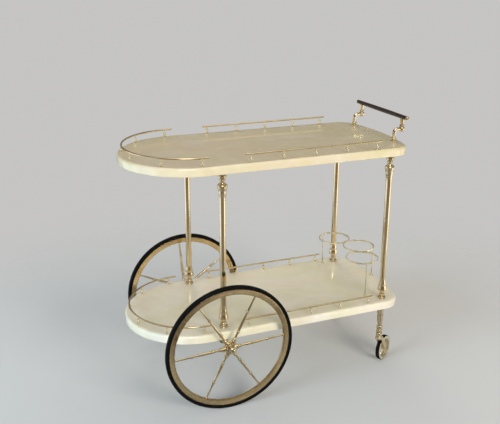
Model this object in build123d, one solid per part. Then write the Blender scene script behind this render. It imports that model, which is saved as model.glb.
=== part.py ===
from build123d import *

import math
import os

# A two-tray bar cart, in millimetres. The origin is on the floor, under the middle
# of the trays. +X runs to the handle end, +Z is up. Pushing from the handle end
# towards -X, the left side of the cart is -Y and the right side is +Y.

LEFT, RIGHT = -1, 1
SIDES = {"left": LEFT, "right": RIGHT}

# Trays: one outline for both, round at the wheel end and bowed at the handle end
TRAY_LENGTH = 764.0
TRAY_WIDTH = 356.0
TRAY_THICKNESS = 22.0
BOW_RADIUS = 600.0
CORNER_RADIUS = 53.0
EDGE_ROUND = 6.5
EDGE_BREAK = 1.5

# Heights: the wheel carries the axle, the axle carries the lower tray
WHEEL_RADIUS = 172.0
AXLE_BELOW_TRAY = 14.0
SHELF_GAP = 420.0

# Uprights: a tube between two turned ferrules, held by a rod from tray to tray
WHEEL_POST_SETBACK = 221.5
HANDLE_POST_SETBACK = 66.0
POST_INSET = 31.0
TUBE_RADIUS = 8.2
TUBE_WALL = 1.1
ROD_RADIUS = 3.0
ROD_TAIL = 7.0
ROD_DEPTH = 13.0
BELL_RADIUS = 13.0
COLLAR_RADIUS = 11.0
NECK_RADIUS = 6.6
FERRULE_LENGTH = 62.0
FERRULE_SPIGOT = 10.0
TOP_COLLAR_HEIGHT = 10.5

# Gallery: thin rails on small turned posts, in three lengths round each tray
RAIL_INSET = 12.5
RAIL_HEIGHT = 20.0
RAIL_HALF = 2.0
STRAIGHT_POSTS = 5
STRAIGHT_PITCH = 88.8
STRAIGHT_SETBACK = 120.2
RAIL_OVERHANG = 14.0
CURVED_POSTS = 6
CURVED_POST_ANGLE = 34.2
CURVED_END_ANGLE = 6.5
BEAD_RADIUS = 4.0
BEAD_HEIGHT = 7.0
STEM_RADIUS = 1.6

# Large wheels: rubber tyre, flat brass rim, six turned spokes and a hub with six flats
WHEEL_GAP = 6.7
TYRE_WIDTH = 13.0
TYRE_DEPTH = 9.0
RIM_WIDTH = 9.0
RIM_DEPTH = 14.0
SPOKES = 6
SPOKE_TURN = {"left": 3.0, "right": 35.0}
SPOKE_ROOT_RADIUS = 6.2
SPOKE_BEAD_RADIUS = 4.4
SPOKE_NECK_RADIUS = 3.0
SPOKE_TIP_RADIUS = 2.4
HUB_FLAT = 13.0
HUB_LENGTH = 26.0
HUB_FLANGE = 5.0
AXLE_RADIUS = 5.0
AXLE_COLLAR_RADIUS = 9.0
AXLE_COLLAR_LENGTH = 4.5
CAP_NUT_RADIUS = 9.0
CAP_NUT_LENGTH = 10.0
CAP_NUT_DEPTH = 6.0
AXLE_BOSS_RADIUS = 12.0
AXLE_BOSS_BELOW = 10.0

# Casters: a turned leg, a swivelling fork and a small rubber-tyred wheel
CASTER_RADIUS = 36.5
CASTER_TRAIL = 30.0
CASTER_TURN = 32.0
CASTER_TYRE_WIDTH = 11.0
CASTER_TYRE_DEPTH = 3.5
CASTER_WHEEL_WIDTH = 9.0
CASTER_RIM_DEPTH = 6.0
CASTER_HUB_RADIUS = 6.5
CASTER_SPOKES = 5
CASTER_SPOKE_WIDTH = 5.0
CASTER_SPOKE_DEPTH = 5.0
CASTER_PIN_RADIUS = 2.5
FORK_HEADROOM = 3.0
FORK_CROWN = 11.5
FORK_CROWN_RADIUS = 10.2
FORK_ARM = 3.0
FORK_ARM_GAP = 1.5
STEM_PIN_RADIUS = 4.0
STEM_PIN_LENGTH = 26.0
LEG_RADIUS = 9.3

# Handle: a dark wooden bar on two brackets that stand on the top tray
HANDLE_SETBACK = 34.0
HANDLE_HALF_SPAN = 108.0
HANDLE_REACH = 23.5
HANDLE_KNUCKLE_HEIGHT = 34.0
HANDLE_ARM_RADIUS = 4.8
HANDLE_BEND = 10.0
HANDLE_BAR_HEIGHT = 66.5
HANDLE_BAR_RADIUS = 6.0
HANDLE_BAR_HALF = 130.0
KNUCKLE_RADIUS = 8.2
COLLAR_STACK = 15.0

# Bottle holder: three touching rings on three legs, on the lower tray
BOTTLE_RING_RADIUS = 46.4
BOTTLE_BAND = 2.0
BOTTLE_BAND_HEIGHT = 5.0
BOTTLE_RING_HEIGHT = 100.5
BOTTLE_ROW_PITCH = 85.0
BOTTLE_MIDDLE_SETBACK = 56.0
BOTTLE_SHIFT = 10.0
BOTTLE_LEG_RADIUS = 2.0
BOTTLE_FOOT_RADIUS = 4.0
BOTTLE_LEG_TURN = {"left": -103.0, "middle": -10.5, "right": 110.0}

# Clearances
SEAT = 0.05
RUNNING = 0.06
END_PLAY = 0.3

HALF_LENGTH = TRAY_LENGTH / 2
HALF_WIDTH = TRAY_WIDTH / 2
NOSE_X = HALF_WIDTH - HALF_LENGTH
AXLE_Z = WHEEL_RADIUS
LOWER_UNDER = AXLE_Z + AXLE_BELOW_TRAY
LOWER_TOP = LOWER_UNDER + TRAY_THICKNESS
UPPER_UNDER = LOWER_TOP + SHELF_GAP
UPPER_TOP = UPPER_UNDER + TRAY_THICKNESS
POST_Y = HALF_WIDTH - POST_INSET
WHEEL_POST_X = WHEEL_POST_SETBACK - HALF_LENGTH
HANDLE_POST_X = HALF_LENGTH - HANDLE_POST_SETBACK
WHEEL_Y = HALF_WIDTH + WHEEL_GAP + HUB_LENGTH / 2
POSTS = {
    f"{end}_{side}": (x, sign * POST_Y)
    for end, x in (("wheel_end", WHEEL_POST_X), ("handle_end", HANDLE_POST_X))
    for side, sign in SIDES.items()
}


def turned(start, *steps):
    """A solid of revolution about Z. A step is a (radius, height) corner, or a list
    of two corners for an arc through the first to the second."""
    edges = []
    here = start
    for step in (*steps, start):
        if isinstance(step, list):
            middle, end = step
            edges.append(ThreePointArc(here, middle, end))
            here = end
        elif step != here:
            edges.append(Line(here, step))
            here = step
    return revolve(Plane.XZ * make_face(edges), Axis.Z)


def dome(radius, low, high):
    """A step of turned(): the arc from a dome's rim up to its top on the axis."""
    rise = high - low
    ball = (radius**2 + rise**2) / (2 * rise)
    half = math.atan2(radius, ball - rise) / 2
    return [(ball * math.sin(half), high - ball + ball * math.cos(half)), (0, high)]


def rod(radius, low, high):
    """A plain round rod on Z from one height to another."""
    return Pos(0, 0, low) * Cylinder(radius, high - low, align=(Align.CENTER, Align.CENTER, Align.MIN))


def group(solids):
    """Identical pieces that share one node, each still its own solid."""
    return Compound(children=[solid.solid() for solid in solids])


def tray_outline():
    """Half a circle at the wheel end, straight sides, and a bowed end with round corners."""
    strip = Pos((HALF_LENGTH + NOSE_X) / 2, 0) * Rectangle(HALF_LENGTH - NOSE_X, TRAY_WIDTH)
    nose = Pos(NOSE_X, 0) * Circle(HALF_WIDTH)
    bow = Pos(HALF_LENGTH - BOW_RADIUS, 0) * Circle(BOW_RADIUS)
    outline = (strip + nose) & bow
    corners = outline.vertices().sort_by(Axis.X)[-2:]
    return fillet(corners, CORNER_RADIUS)


def tray(under):
    """One tray: rounded upper edge, lightly broken lower edge, drilled for the rods."""
    board = Pos(0, 0, under) * extrude(tray_outline(), TRAY_THICKNESS)
    board = fillet(board.faces().sort_by(Axis.Z)[-1].edges(), EDGE_ROUND)
    board = chamfer(board.faces().sort_by(Axis.Z)[0].edges(), EDGE_BREAK)
    return board


def make_trays():
    lower = tray(LOWER_UNDER)
    top = tray(UPPER_UNDER)
    for x, y in POSTS.values():
        lower -= Pos(x, y) * rod(ROD_RADIUS + SEAT, LOWER_UNDER - 1, LOWER_TOP + 1)
        top -= Pos(x, y) * rod(ROD_RADIUS + SEAT, UPPER_UNDER - 1, UPPER_UNDER + ROD_DEPTH)
    return {"top_tray": top, "lower_tray": lower}


def ferrule(collar):
    """A turned end for a tube: foot ring, beaded neck and bell. The tube sits on its spigot.
    collar is the height of an extra disc and cove under the foot ring, or 0 for none."""
    bore = ROD_RADIUS + SEAT
    spigot = TUBE_RADIUS - TUBE_WALL - SEAT
    ring, bead, neck, bell, end = (collar + h for h in (5.0, 11.5, 19.0, 26.5, FERRULE_LENGTH))
    foot = [(COLLAR_RADIUS, 0)]
    if collar:
        cove = 0.75 * COLLAR_RADIUS
        foot = [(1.04 * COLLAR_RADIUS, 0), (1.04 * COLLAR_RADIUS, 0.33 * collar), (cove, 0.45 * collar)]
        foot += [(cove, 0.85 * collar), (COLLAR_RADIUS, collar)]
    return turned(
        (bore, 0),
        *foot,
        (COLLAR_RADIUS, ring),
        (NECK_RADIUS, ring + 1.5),
        (NECK_RADIUS, bead - 2),
        (1.15 * NECK_RADIUS, bead),
        (NECK_RADIUS, bead + 2),
        (NECK_RADIUS, neck),
        (0.9 * BELL_RADIUS, bell - 2.5),
        (BELL_RADIUS, bell),
        (BELL_RADIUS, bell + 2.5),
        (0.6 * BELL_RADIUS + 0.4 * TUBE_RADIUS, 0.75 * bell + 0.25 * end),
        (0.2 * BELL_RADIUS + 0.8 * TUBE_RADIUS, 0.4 * bell + 0.6 * end),
        (TUBE_RADIUS, end),
        (spigot, end),
        (spigot, end + FERRULE_SPIGOT),
        (bore, end + FERRULE_SPIGOT),
    )


def make_uprights():
    tube_low = LOWER_TOP + FERRULE_LENGTH
    tube_high = UPPER_UNDER - TOP_COLLAR_HEIGHT - FERRULE_LENGTH
    tube = rod(TUBE_RADIUS, tube_low, tube_high) - rod(TUBE_RADIUS - TUBE_WALL, tube_low, tube_high)
    tie = rod(ROD_RADIUS, LOWER_UNDER - ROD_TAIL, UPPER_UNDER + ROD_DEPTH - 1)
    lower_end = Pos(0, 0, LOWER_TOP) * ferrule(0)
    upper_end = Pos(0, 0, UPPER_UNDER) * Rot(180, 0, 0) * ferrule(TOP_COLLAR_HEIGHT)
    places = [Pos(x, y) for x, y in POSTS.values()]
    nodes = {f"{name}_upright_tube": Pos(x, y) * tube for name, (x, y) in POSTS.items()}
    nodes["top_ferrules"] = group(place * upper_end for place in places)
    nodes["bottom_ferrules"] = group(place * lower_end for place in places)
    nodes["tie_rods"] = group(place * tie for place in places)
    return nodes


def gallery_post():
    """A small turned post: a pear-shaped bead low down and a thin stem up to the rail."""
    return turned(
        (0, 0),
        (0.6 * BEAD_RADIUS, 0),
        (BEAD_RADIUS, 0.85 * BEAD_HEIGHT),
        (0.85 * BEAD_RADIUS, 1.3 * BEAD_HEIGHT),
        (STEM_RADIUS, 1.75 * BEAD_HEIGHT),
        (STEM_RADIUS, RAIL_HEIGHT - RAIL_HALF),
        (0, RAIL_HEIGHT - RAIL_HALF),
    )


def rail_section():
    """The rail's section, with a flat underneath where the posts meet it."""
    return RegularPolygon(RAIL_HALF, 8, major_radius=False, rotation=22.5)


def make_gallery(tray_name, top):
    """Three rails with their posts: round the nose, and along each straight side."""
    post = Pos(0, 0, top) * gallery_post()
    rail_y = HALF_WIDTH - RAIL_INSET
    last = HALF_LENGTH - STRAIGHT_SETBACK
    first = last - (STRAIGHT_POSTS - 1) * STRAIGHT_PITCH
    length = last - first + 2 * RAIL_OVERHANG
    rail_z = top + RAIL_HEIGHT
    straight = Pos(first - RAIL_OVERHANG, 0, rail_z) * extrude(Plane.YZ * rail_section(), length)
    nodes = {}
    for side, sign in SIDES.items():
        nodes[f"{tray_name}_{side}_rail"] = Pos(0, sign * rail_y) * straight
        spots = [first + n * STRAIGHT_PITCH for n in range(STRAIGHT_POSTS)]
        nodes[f"{tray_name}_{side}_rail_posts"] = group(Pos(x, sign * rail_y) * post for x in spots)
    span = (CURVED_POSTS - 1) * CURVED_POST_ANGLE + 2 * CURVED_END_ANGLE
    section = Plane.XZ * Pos(rail_y, 0) * rail_section()
    arc = revolve(section, Axis.Z, revolution_arc=span)
    nodes[f"{tray_name}_nose_rail"] = Pos(NOSE_X, 0, rail_z) * Rot(0, 0, 180 - span / 2) * arc
    turns = [180 + (n - (CURVED_POSTS - 1) / 2) * CURVED_POST_ANGLE for n in range(CURVED_POSTS)]
    nodes[f"{tray_name}_nose_rail_posts"] = group(
        Pos(NOSE_X, 0) * Rot(0, 0, turn) * Pos(rail_y, 0) * post for turn in turns
    )
    return nodes


def spoke(start, end):
    """A turned spoke: stout root, neck, bead, long baluster, second bead and thin tip."""
    reach = end - start
    root, bead, neck, tip = SPOKE_ROOT_RADIUS, SPOKE_BEAD_RADIUS, SPOKE_NECK_RADIUS, SPOKE_TIP_RADIUS
    shares = (
        (root, 0.0),
        (root, 0.09),
        (neck, 0.11),
        (neck, 0.22),
        (0.85 * bead, 0.228),
        (bead, 0.24),
        (0.85 * bead, 0.252),
        (neck, 0.26),
        (0.85 * bead, 0.29),
        (0.9 * neck, 0.638),
        (0.85 * bead, 0.648),
        (bead, 0.66),
        (0.85 * bead, 0.672),
        (1.1 * tip, 0.682),
        (tip, 1.0),
    )
    return turned((0, start), *((r, start + share * reach) for r, share in shares), (0, end))


def make_wheel(side):
    """One large wheel about its own axis Z, turned and set on the axle."""
    rim_outer = WHEEL_RADIUS - TYRE_DEPTH
    rim_inner = rim_outer - RIM_DEPTH
    half_tyre, half_rim, half_hub = TYRE_WIDTH / 2, RIM_WIDTH / 2, HUB_LENGTH / 2
    tyre = turned(
        (rim_outer + SEAT, -half_tyre + 1),
        (rim_outer + SEAT, half_tyre - 1),
        (WHEEL_RADIUS - 3.6, half_tyre),
        (WHEEL_RADIUS, 0.4 * half_tyre),
        (WHEEL_RADIUS, -0.4 * half_tyre),
        (WHEEL_RADIUS - 3.6, -half_tyre),
    )
    rim = turned(
        (rim_inner, -half_rim + 1.5),
        (rim_inner, half_rim - 1.5),
        (rim_inner + 1.5, half_rim),
        (rim_outer, half_rim),
        (rim_outer, -half_rim),
        (rim_inner + 1.5, -half_rim),
    )
    core = extrude(RegularPolygon(HUB_FLAT, SPOKES, major_radius=False), half_hub - HUB_FLANGE, both=True)
    flange = rod(HUB_FLAT + 1, half_hub - HUB_FLANGE, half_hub)
    hub = core + flange + Rot(180, 0, 0) * flange
    flat = core.faces().sort_by(Axis.X)[-1].center()
    hub = Rot(0, 0, -math.degrees(math.atan2(flat.Y, flat.X))) * hub
    hub -= rod(AXLE_RADIUS + RUNNING, -half_hub - 1, half_hub + 1)
    one_spoke = Rot(0, 90, 0) * spoke(HUB_FLAT, rim_inner)
    spokes = group(Rot(0, 0, n * 360 / SPOKES) * one_spoke for n in range(SPOKES))
    place = Pos(WHEEL_POST_X, SIDES[side] * WHEEL_Y, AXLE_Z) * Rot(90, 0, 0) * Rot(0, 0, SPOKE_TURN[side])
    return {
        f"{side}_wheel_tyre": place * tyre,
        f"{side}_wheel_rim": place * rim,
        f"{side}_wheel_spokes": place * spokes,
        f"{side}_wheel_hub": place * hub,
    }


def make_axle():
    """The fixed axle, its two bosses under the tray, and what keeps the wheels on it."""
    hub_inner = WHEEL_Y - HUB_LENGTH / 2
    hub_outer = WHEEL_Y + HUB_LENGTH / 2
    cap_start = hub_outer + END_PLAY
    axle_half = cap_start + CAP_NUT_DEPTH
    collar = rod(AXLE_COLLAR_RADIUS, hub_inner - END_PLAY - AXLE_COLLAR_LENGTH, hub_inner - END_PLAY)
    collar -= rod(AXLE_RADIUS + SEAT, 0, WHEEL_Y)
    skirt = cap_start + 0.3 * CAP_NUT_LENGTH
    cap = turned(
        (0, axle_half),
        (AXLE_RADIUS + SEAT, axle_half),
        (AXLE_RADIUS + SEAT, cap_start),
        (CAP_NUT_RADIUS, cap_start),
        (CAP_NUT_RADIUS, skirt),
        dome(CAP_NUT_RADIUS, skirt, cap_start + CAP_NUT_LENGTH),
    )
    boss = rod(AXLE_BOSS_RADIUS, AXLE_Z - AXLE_BOSS_BELOW, LOWER_UNDER)
    boss -= rod(ROD_RADIUS + SEAT, LOWER_UNDER - ROD_TAIL - 0.5, LOWER_UNDER + 1)
    cross = rod(AXLE_RADIUS + SEAT, -2 * AXLE_BOSS_RADIUS, 2 * AXLE_BOSS_RADIUS)
    boss -= Pos(0, 0, AXLE_Z) * Rot(90, 0, 0) * cross
    lie = Pos(WHEEL_POST_X, 0, AXLE_Z) * Rot(-90, 0, 0)
    flip = Rot(180, 0, 0)
    return {
        "axle": lie * rod(AXLE_RADIUS, -axle_half, axle_half),
        "axle_collars": group([lie * collar, lie * flip * collar]),
        "axle_cap_nuts": group([lie * cap, lie * flip * cap]),
        "axle_bosses": group(Pos(WHEEL_POST_X, sign * POST_Y) * boss for sign in SIDES.values()),
    }


def caster_crown_top():
    """Height of the fork's upper face, where the turned leg bears on it."""
    return 2 * CASTER_RADIUS + FORK_HEADROOM + FORK_CROWN


def caster_leg():
    """The turned leg from the lower tray down to the fork: a taper between rings."""
    foot = caster_crown_top() + END_PLAY
    depth = foot + STEM_PIN_LENGTH + 1
    socket = LOWER_UNDER - ROD_TAIL - 0.5
    return turned(
        (0, depth),
        (STEM_PIN_RADIUS + RUNNING, depth),
        (STEM_PIN_RADIUS + RUNNING, foot),
        (LEG_RADIUS, foot),
        (LEG_RADIUS, foot + 5),
        (6.8, foot + 7.5),
        (LEG_RADIUS, foot + 11),
        (6.8, foot + 16),
        (LEG_RADIUS, foot + 21),
        (7.2, foot + 25),
        (LEG_RADIUS, LOWER_UNDER - 9),
        (LEG_RADIUS + 1.2, LOWER_UNDER - 7),
        (LEG_RADIUS + 1.2, LOWER_UNDER),
        (ROD_RADIUS + SEAT, LOWER_UNDER),
        (ROD_RADIUS + SEAT, socket),
        (0, socket),
    )


def caster_fork():
    """Crown, swivel pin and two tapered arms. The wheel trails along +X."""
    crown_top = caster_crown_top()
    crown_low = crown_top - FORK_CROWN
    inner = CASTER_TYRE_WIDTH / 2 + FORK_ARM_GAP
    eye = Pos(CASTER_TRAIL, CASTER_RADIUS) * Circle(6.0)
    root = Pos(2.0, crown_low + 5.5) * Circle(5.5)
    pin_hole = Pos(CASTER_TRAIL, CASTER_RADIUS) * Circle(CASTER_PIN_RADIUS + SEAT)
    arm_outline = make_hull((eye + root).edges()) - pin_hole
    arm = Pos(0, inner + FORK_ARM) * extrude(Plane.XZ * arm_outline, FORK_ARM)
    fork = rod(FORK_CROWN_RADIUS, crown_low, crown_top)
    fork += rod(STEM_PIN_RADIUS, crown_top, crown_top + STEM_PIN_LENGTH)
    fork += arm
    fork += mirror(arm, Plane.XZ)
    return fork


def caster_wheel():
    """The brass wheel of a caster about Z: hub, five spokes and a rim, with its bore."""
    half = CASTER_WHEEL_WIDTH / 2
    outer = CASTER_RADIUS - CASTER_TYRE_DEPTH
    inner = outer - CASTER_RIM_DEPTH
    wheel = rod(outer, -half, half) - rod(inner, -half, half)
    hub_half = CASTER_TYRE_WIDTH / 2 + FORK_ARM_GAP - END_PLAY
    wheel += rod(CASTER_HUB_RADIUS, -hub_half, hub_half)
    reach = (inner + outer) / 2
    bar = Pos(reach / 2, 0) * Box(reach, CASTER_SPOKE_WIDTH, CASTER_SPOKE_DEPTH)
    for n in range(CASTER_SPOKES):
        wheel += Rot(0, 0, 90 + n * 360 / CASTER_SPOKES) * bar
    return wheel - rod(CASTER_PIN_RADIUS + RUNNING, -hub_half - 1, hub_half + 1)


def caster_tyre():
    half = CASTER_TYRE_WIDTH / 2
    seat = CASTER_RADIUS - CASTER_TYRE_DEPTH + SEAT
    return turned(
        (seat, -half),
        (seat, half),
        (CASTER_RADIUS - 1.8, half),
        (CASTER_RADIUS, half - 2.4),
        (CASTER_RADIUS, 2.4 - half),
        (CASTER_RADIUS - 1.8, -half),
    )


def caster_pin():
    """The wheel's pin, with a low round head outside each arm."""
    arm_face = CASTER_TYRE_WIDTH / 2 + FORK_ARM_GAP + FORK_ARM
    head = rod(4.0, arm_face, arm_face + 1.6)
    return rod(CASTER_PIN_RADIUS, -arm_face, arm_face) + head + Rot(180, 0, 0) * head


def make_casters():
    leg = caster_leg()
    nodes = {"caster_legs": group(Pos(HANDLE_POST_X, sign * POST_Y) * leg for sign in SIDES.values())}
    on_axle = Pos(CASTER_TRAIL, 0, CASTER_RADIUS) * Rot(90, 0, 0)
    for side, sign in SIDES.items():
        swivel = Pos(HANDLE_POST_X, sign * POST_Y) * Rot(0, 0, CASTER_TURN)
        nodes[f"{side}_caster_fork"] = swivel * caster_fork()
        nodes[f"{side}_caster_pin"] = swivel * on_axle * caster_pin()
        nodes[f"{side}_caster_wheel"] = swivel * on_axle * caster_wheel()
        nodes[f"{side}_caster_tyre"] = swivel * on_axle * caster_tyre()
    return nodes


def handle_bracket():
    """A stack of rings on the tray and an arm that rises and bends out to the knuckle."""
    base = turned(
        (0, 0),
        (7.4, 0),
        (7.4, 4),
        (5.4, 5.5),
        (5.4, 7),
        (6.9, 8.5),
        (6.9, 11.5),
        (HANDLE_ARM_RADIUS, COLLAR_STACK),
        (0, COLLAR_STACK),
    )
    rise = HANDLE_KNUCKLE_HEIGHT - HANDLE_BEND
    corner = HANDLE_BEND * (1 - math.sqrt(0.5))
    tip = HANDLE_REACH - knuckle_flat()
    path = Line((0, 0, COLLAR_STACK - 1), (0, 0, rise))
    path += ThreePointArc(
        (0, 0, rise),
        (corner, 0, HANDLE_KNUCKLE_HEIGHT - corner),
        (HANDLE_BEND, 0, HANDLE_KNUCKLE_HEIGHT),
    )
    path += Line((HANDLE_BEND, 0, HANDLE_KNUCKLE_HEIGHT), (tip, 0, HANDLE_KNUCKLE_HEIGHT))
    arm = sweep(Pos(0, 0, COLLAR_STACK - 1) * Circle(HANDLE_ARM_RADIUS), path)
    return base + arm


def knuckle_flat():
    """How far the flat spot on the ball, where the arm meets it, lies from the middle."""
    return math.sqrt(KNUCKLE_RADIUS**2 - HANDLE_ARM_RADIUS**2)


def handle_knuckle():
    """A ball with a turned neck. The ball has a flat spot for the arm, and the neck's
    upper end is hollowed to the round bar."""
    neck_low = math.sqrt(KNUCKLE_RADIUS**2 - 5.0**2)
    top = HANDLE_BAR_HEIGHT - HANDLE_KNUCKLE_HEIGHT
    knuckle = turned(
        (0, -KNUCKLE_RADIUS),
        [(KNUCKLE_RADIUS, 0), (5.0, neck_low)],
        (6.8, neck_low + 1.5),
        (6.8, neck_low + 4),
        (4.9, neck_low + 6),
        (5.6, top - 6),
        (5.6, top),
        (0, top),
    )
    bar = Pos(0, 0, top) * Rot(90, 0, 0) * rod(HANDLE_BAR_RADIUS + SEAT, -10, 10)
    spot = Pos(-knuckle_flat() - KNUCKLE_RADIUS, 0) * Box(2 * KNUCKLE_RADIUS, 20, 20)
    return knuckle - bar - spot


def make_handle():
    foot_x = HALF_LENGTH - HANDLE_SETBACK
    bar_x = foot_x + HANDLE_REACH
    bar_z = UPPER_TOP + HANDLE_BAR_HEIGHT
    feet = [Pos(foot_x, sign * HANDLE_HALF_SPAN, UPPER_TOP) for sign in SIDES.values()]
    up = Pos(HANDLE_REACH, 0, HANDLE_KNUCKLE_HEIGHT)
    end = HANDLE_BAR_HALF
    cap = turned(
        (0, end),
        (HANDLE_BAR_RADIUS - 0.6, end),
        (HANDLE_BAR_RADIUS - 0.6, end + 1.8),
        (3.4, end + 2.4),
        (3.4, end + 3.6),
        dome(3.4, end + 3.6, end + 7),
    )
    lie = Pos(bar_x, 0, bar_z) * Rot(-90, 0, 0)
    return {
        "handle_brackets": group(foot * handle_bracket() for foot in feet),
        "handle_knuckles": group(foot * up * handle_knuckle() for foot in feet),
        "handle_bar": lie * rod(HANDLE_BAR_RADIUS, -end, end),
        "handle_end_caps": group([lie * cap, lie * Rot(180, 0, 0) * cap]),
    }


def make_bottle_holder():
    """Three rings in a bowed row, each with one leg on its outer side."""
    low = LOWER_TOP + BOTTLE_RING_HEIGHT - BOTTLE_BAND_HEIGHT
    high = low + BOTTLE_BAND_HEIGHT
    ring = rod(BOTTLE_RING_RADIUS, low, high) - rod(BOTTLE_RING_RADIUS - BOTTLE_BAND, low, high)
    middle_x = HALF_LENGTH - BOTTLE_MIDDLE_SETBACK
    bow = math.sqrt((2 * BOTTLE_RING_RADIUS) ** 2 - BOTTLE_ROW_PITCH**2)
    rows = {
        "left": (middle_x - bow, BOTTLE_SHIFT - BOTTLE_ROW_PITCH),
        "middle": (middle_x, BOTTLE_SHIFT),
        "right": (middle_x - bow, BOTTLE_SHIFT + BOTTLE_ROW_PITCH),
    }
    foot = BOTTLE_FOOT_RADIUS
    leg = turned(
        (0, LOWER_TOP),
        (foot, LOWER_TOP),
        (foot, LOWER_TOP + 1.2),
        (BOTTLE_LEG_RADIUS, LOWER_TOP + 3),
        (BOTTLE_LEG_RADIUS, low),
        (0, low),
    )
    leg_at = BOTTLE_RING_RADIUS - BOTTLE_BAND / 2
    nodes = {f"bottle_ring_{name}": Pos(x, y) * ring for name, (x, y) in rows.items()}
    nodes["bottle_holder_legs"] = group(
        Pos(x, y) * Rot(0, 0, BOTTLE_LEG_TURN[name]) * Pos(leg_at, 0) * leg
        for name, (x, y) in rows.items()
    )
    return nodes


def make_cart():
    nodes = make_trays() | make_uprights()
    nodes |= make_gallery("top_tray", UPPER_TOP) | make_gallery("lower_tray", LOWER_TOP)
    nodes |= make_wheel("left") | make_wheel("right") | make_axle()
    nodes |= make_casters() | make_handle() | make_bottle_holder()
    return nodes


os.makedirs("parts", exist_ok=True)
for node, shape in make_cart().items():
    export_step(shape, f"parts/{node}.step")
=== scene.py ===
"""Looks of a two-tray bar cart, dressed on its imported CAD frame.

Every piece is a surface worked out with numpy, in metres, in the frame of the CAD:
+X runs to the handle end, +Z is up and the origin is on the floor. Sizes in the
classes are in millimetres, as on a workshop drawing.
"""
import logging
import math
from collections.abc import Sequence
from dataclasses import dataclass, field
from enum import Enum

import bpy
import numpy as np
from mathutils import Matrix, Vector


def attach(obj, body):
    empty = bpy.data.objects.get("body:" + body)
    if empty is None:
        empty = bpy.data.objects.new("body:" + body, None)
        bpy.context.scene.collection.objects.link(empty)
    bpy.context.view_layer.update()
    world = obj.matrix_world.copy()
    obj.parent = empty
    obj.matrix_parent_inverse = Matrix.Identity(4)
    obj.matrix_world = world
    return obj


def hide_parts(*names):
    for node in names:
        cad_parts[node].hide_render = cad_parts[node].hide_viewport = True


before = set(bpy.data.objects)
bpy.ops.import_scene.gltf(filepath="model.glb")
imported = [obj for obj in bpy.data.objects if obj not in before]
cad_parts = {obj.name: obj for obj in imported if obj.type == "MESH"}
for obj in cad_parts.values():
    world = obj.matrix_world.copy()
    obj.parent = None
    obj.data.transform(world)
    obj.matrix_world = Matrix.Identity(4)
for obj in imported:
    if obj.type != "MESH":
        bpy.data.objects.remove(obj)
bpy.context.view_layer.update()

Array = np.ndarray
Colour = tuple[float, float, float]
Spot = tuple[float, float, float]
Socket = bpy.types.NodeSocket
log = logging.getLogger("bar_cart")

MM = 0.001
UP = np.array([0.0, 0.0, 1.0])

# Steps round a turned piece, then how its outline is softened and its hollows read, in
# millimetres and degrees.
BIG_RING_SEGMENTS = 160
HOOP_SEGMENTS = 112
ROUND_SEGMENTS = 72
UPRIGHT_SEGMENTS = 56
STOUT_SEGMENTS = 48
FINE_SEGMENTS = 40
THIN_SEGMENTS = 32
SOFT_EDGE = 0.35
SHARP_DEGREES = 25
DEEP_HOLLOW = 1.5

# Places that several sub-assemblies share, in millimetres.
WHEEL_X = -160.5
WHEEL_Y = 197.7
WHEEL_RADIUS = 172.0
HUB_LENGTH = 26.0
CASTER_X = 316.0
POST_Y = 147.0
NOSE_X = -204.0
TOP_SURFACE = 650.0
LOWER_SURFACE = 208.0
BOARD_THICKNESS = 22.0

PHOTO_WIDTH = 500
SENSOR_MM = 36.0


class Side(Enum):
    """The cart's two sides, seen when pushing from the handle end."""

    LEFT = -1
    RIGHT = 1

    @property
    def word(self) -> str:
        """The side's name in piece and node names."""
        return self.name.lower()


class Form(Enum):
    """How a turned outline runs from one station to the next."""

    STRAIGHT = "straight"
    FLOWING = "flowing"
    ROUND = "round"


@dataclass(frozen=True)
class Cut:
    """One stretch of a turned outline, ending at a radius and height in millimetres.

    swell is how far the middle stands out as a bead, or in as a cove when negative.
    """

    radius: float
    height: float
    swell: float = 0.0
    form: Form = Form.STRAIGHT


def bead(radius: float, height: float, swell: float) -> Cut:
    """A cut that swells out, or in when negative, as a half circle would."""
    return Cut(radius, height, swell, Form.ROUND)


def flow(radius: float, height: float, swell: float = 0.0) -> Cut:
    """A cut that runs smoothly from one radius to the next."""
    return Cut(radius, height, swell, Form.FLOWING)


@dataclass
class Skin:
    """One closed surface: points, four-cornered faces, and readings for the finishes.

    uv holds the corners' places round and along the surface, and recess says how deep
    each point lies in a hollow of the outline, from 0 to 1.
    """

    points: Array
    faces: Array
    uv: Array
    recess: Array

    def placed(self, place: Array) -> "Skin":
        """This surface moved by a 4 by 4 matrix."""
        moved = self.points @ place[:3, :3].T + place[:3, 3]
        return Skin(moved, self.faces, self.uv, self.recess)

    def outward(self) -> "Skin":
        """This surface with its faces pointing outwards.

        The volume is the sum of the tetrahedra from the origin to each half face, and a
        negative sum means that the faces point in.

        Returns:
            This surface, or the same one with its faces turned over.
        """
        corner = self.points[self.faces]
        volume = 0.0
        for b, c in ((1, 2), (2, 3)):
            volume += np.sum(corner[:, 0] * np.cross(corner[:, b], corner[:, c]))
        if volume >= 0:
            return self
        return Skin(self.points, self.faces[:, ::-1], self.uv[:, ::-1], self.recess)


def shifted(x: float = 0.0, y: float = 0.0, z: float = 0.0) -> Array:
    """A 4 by 4 matrix that moves by millimetres.

    Args:
        x: how far it moves towards the handle end.
        y: how far to the right-hand side.
        z: how far up.

    Returns:
        The matrix, in metres.
    """
    place = np.eye(4)
    place[:3, 3] = (x * MM, y * MM, z * MM)
    return place


def turned_by(degrees: float, axis: str) -> Array:
    """A 4 by 4 matrix that turns about an axis by the right-hand rule."""
    return np.array(Matrix.Rotation(math.radians(degrees), 4, axis))


def set_at(skins: Sequence[Skin], *places: Array) -> list[Skin]:
    """Copies of all the skins at the first place, then at the next, and so on."""
    return [skin.placed(place) for place in places for skin in skins]


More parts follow.
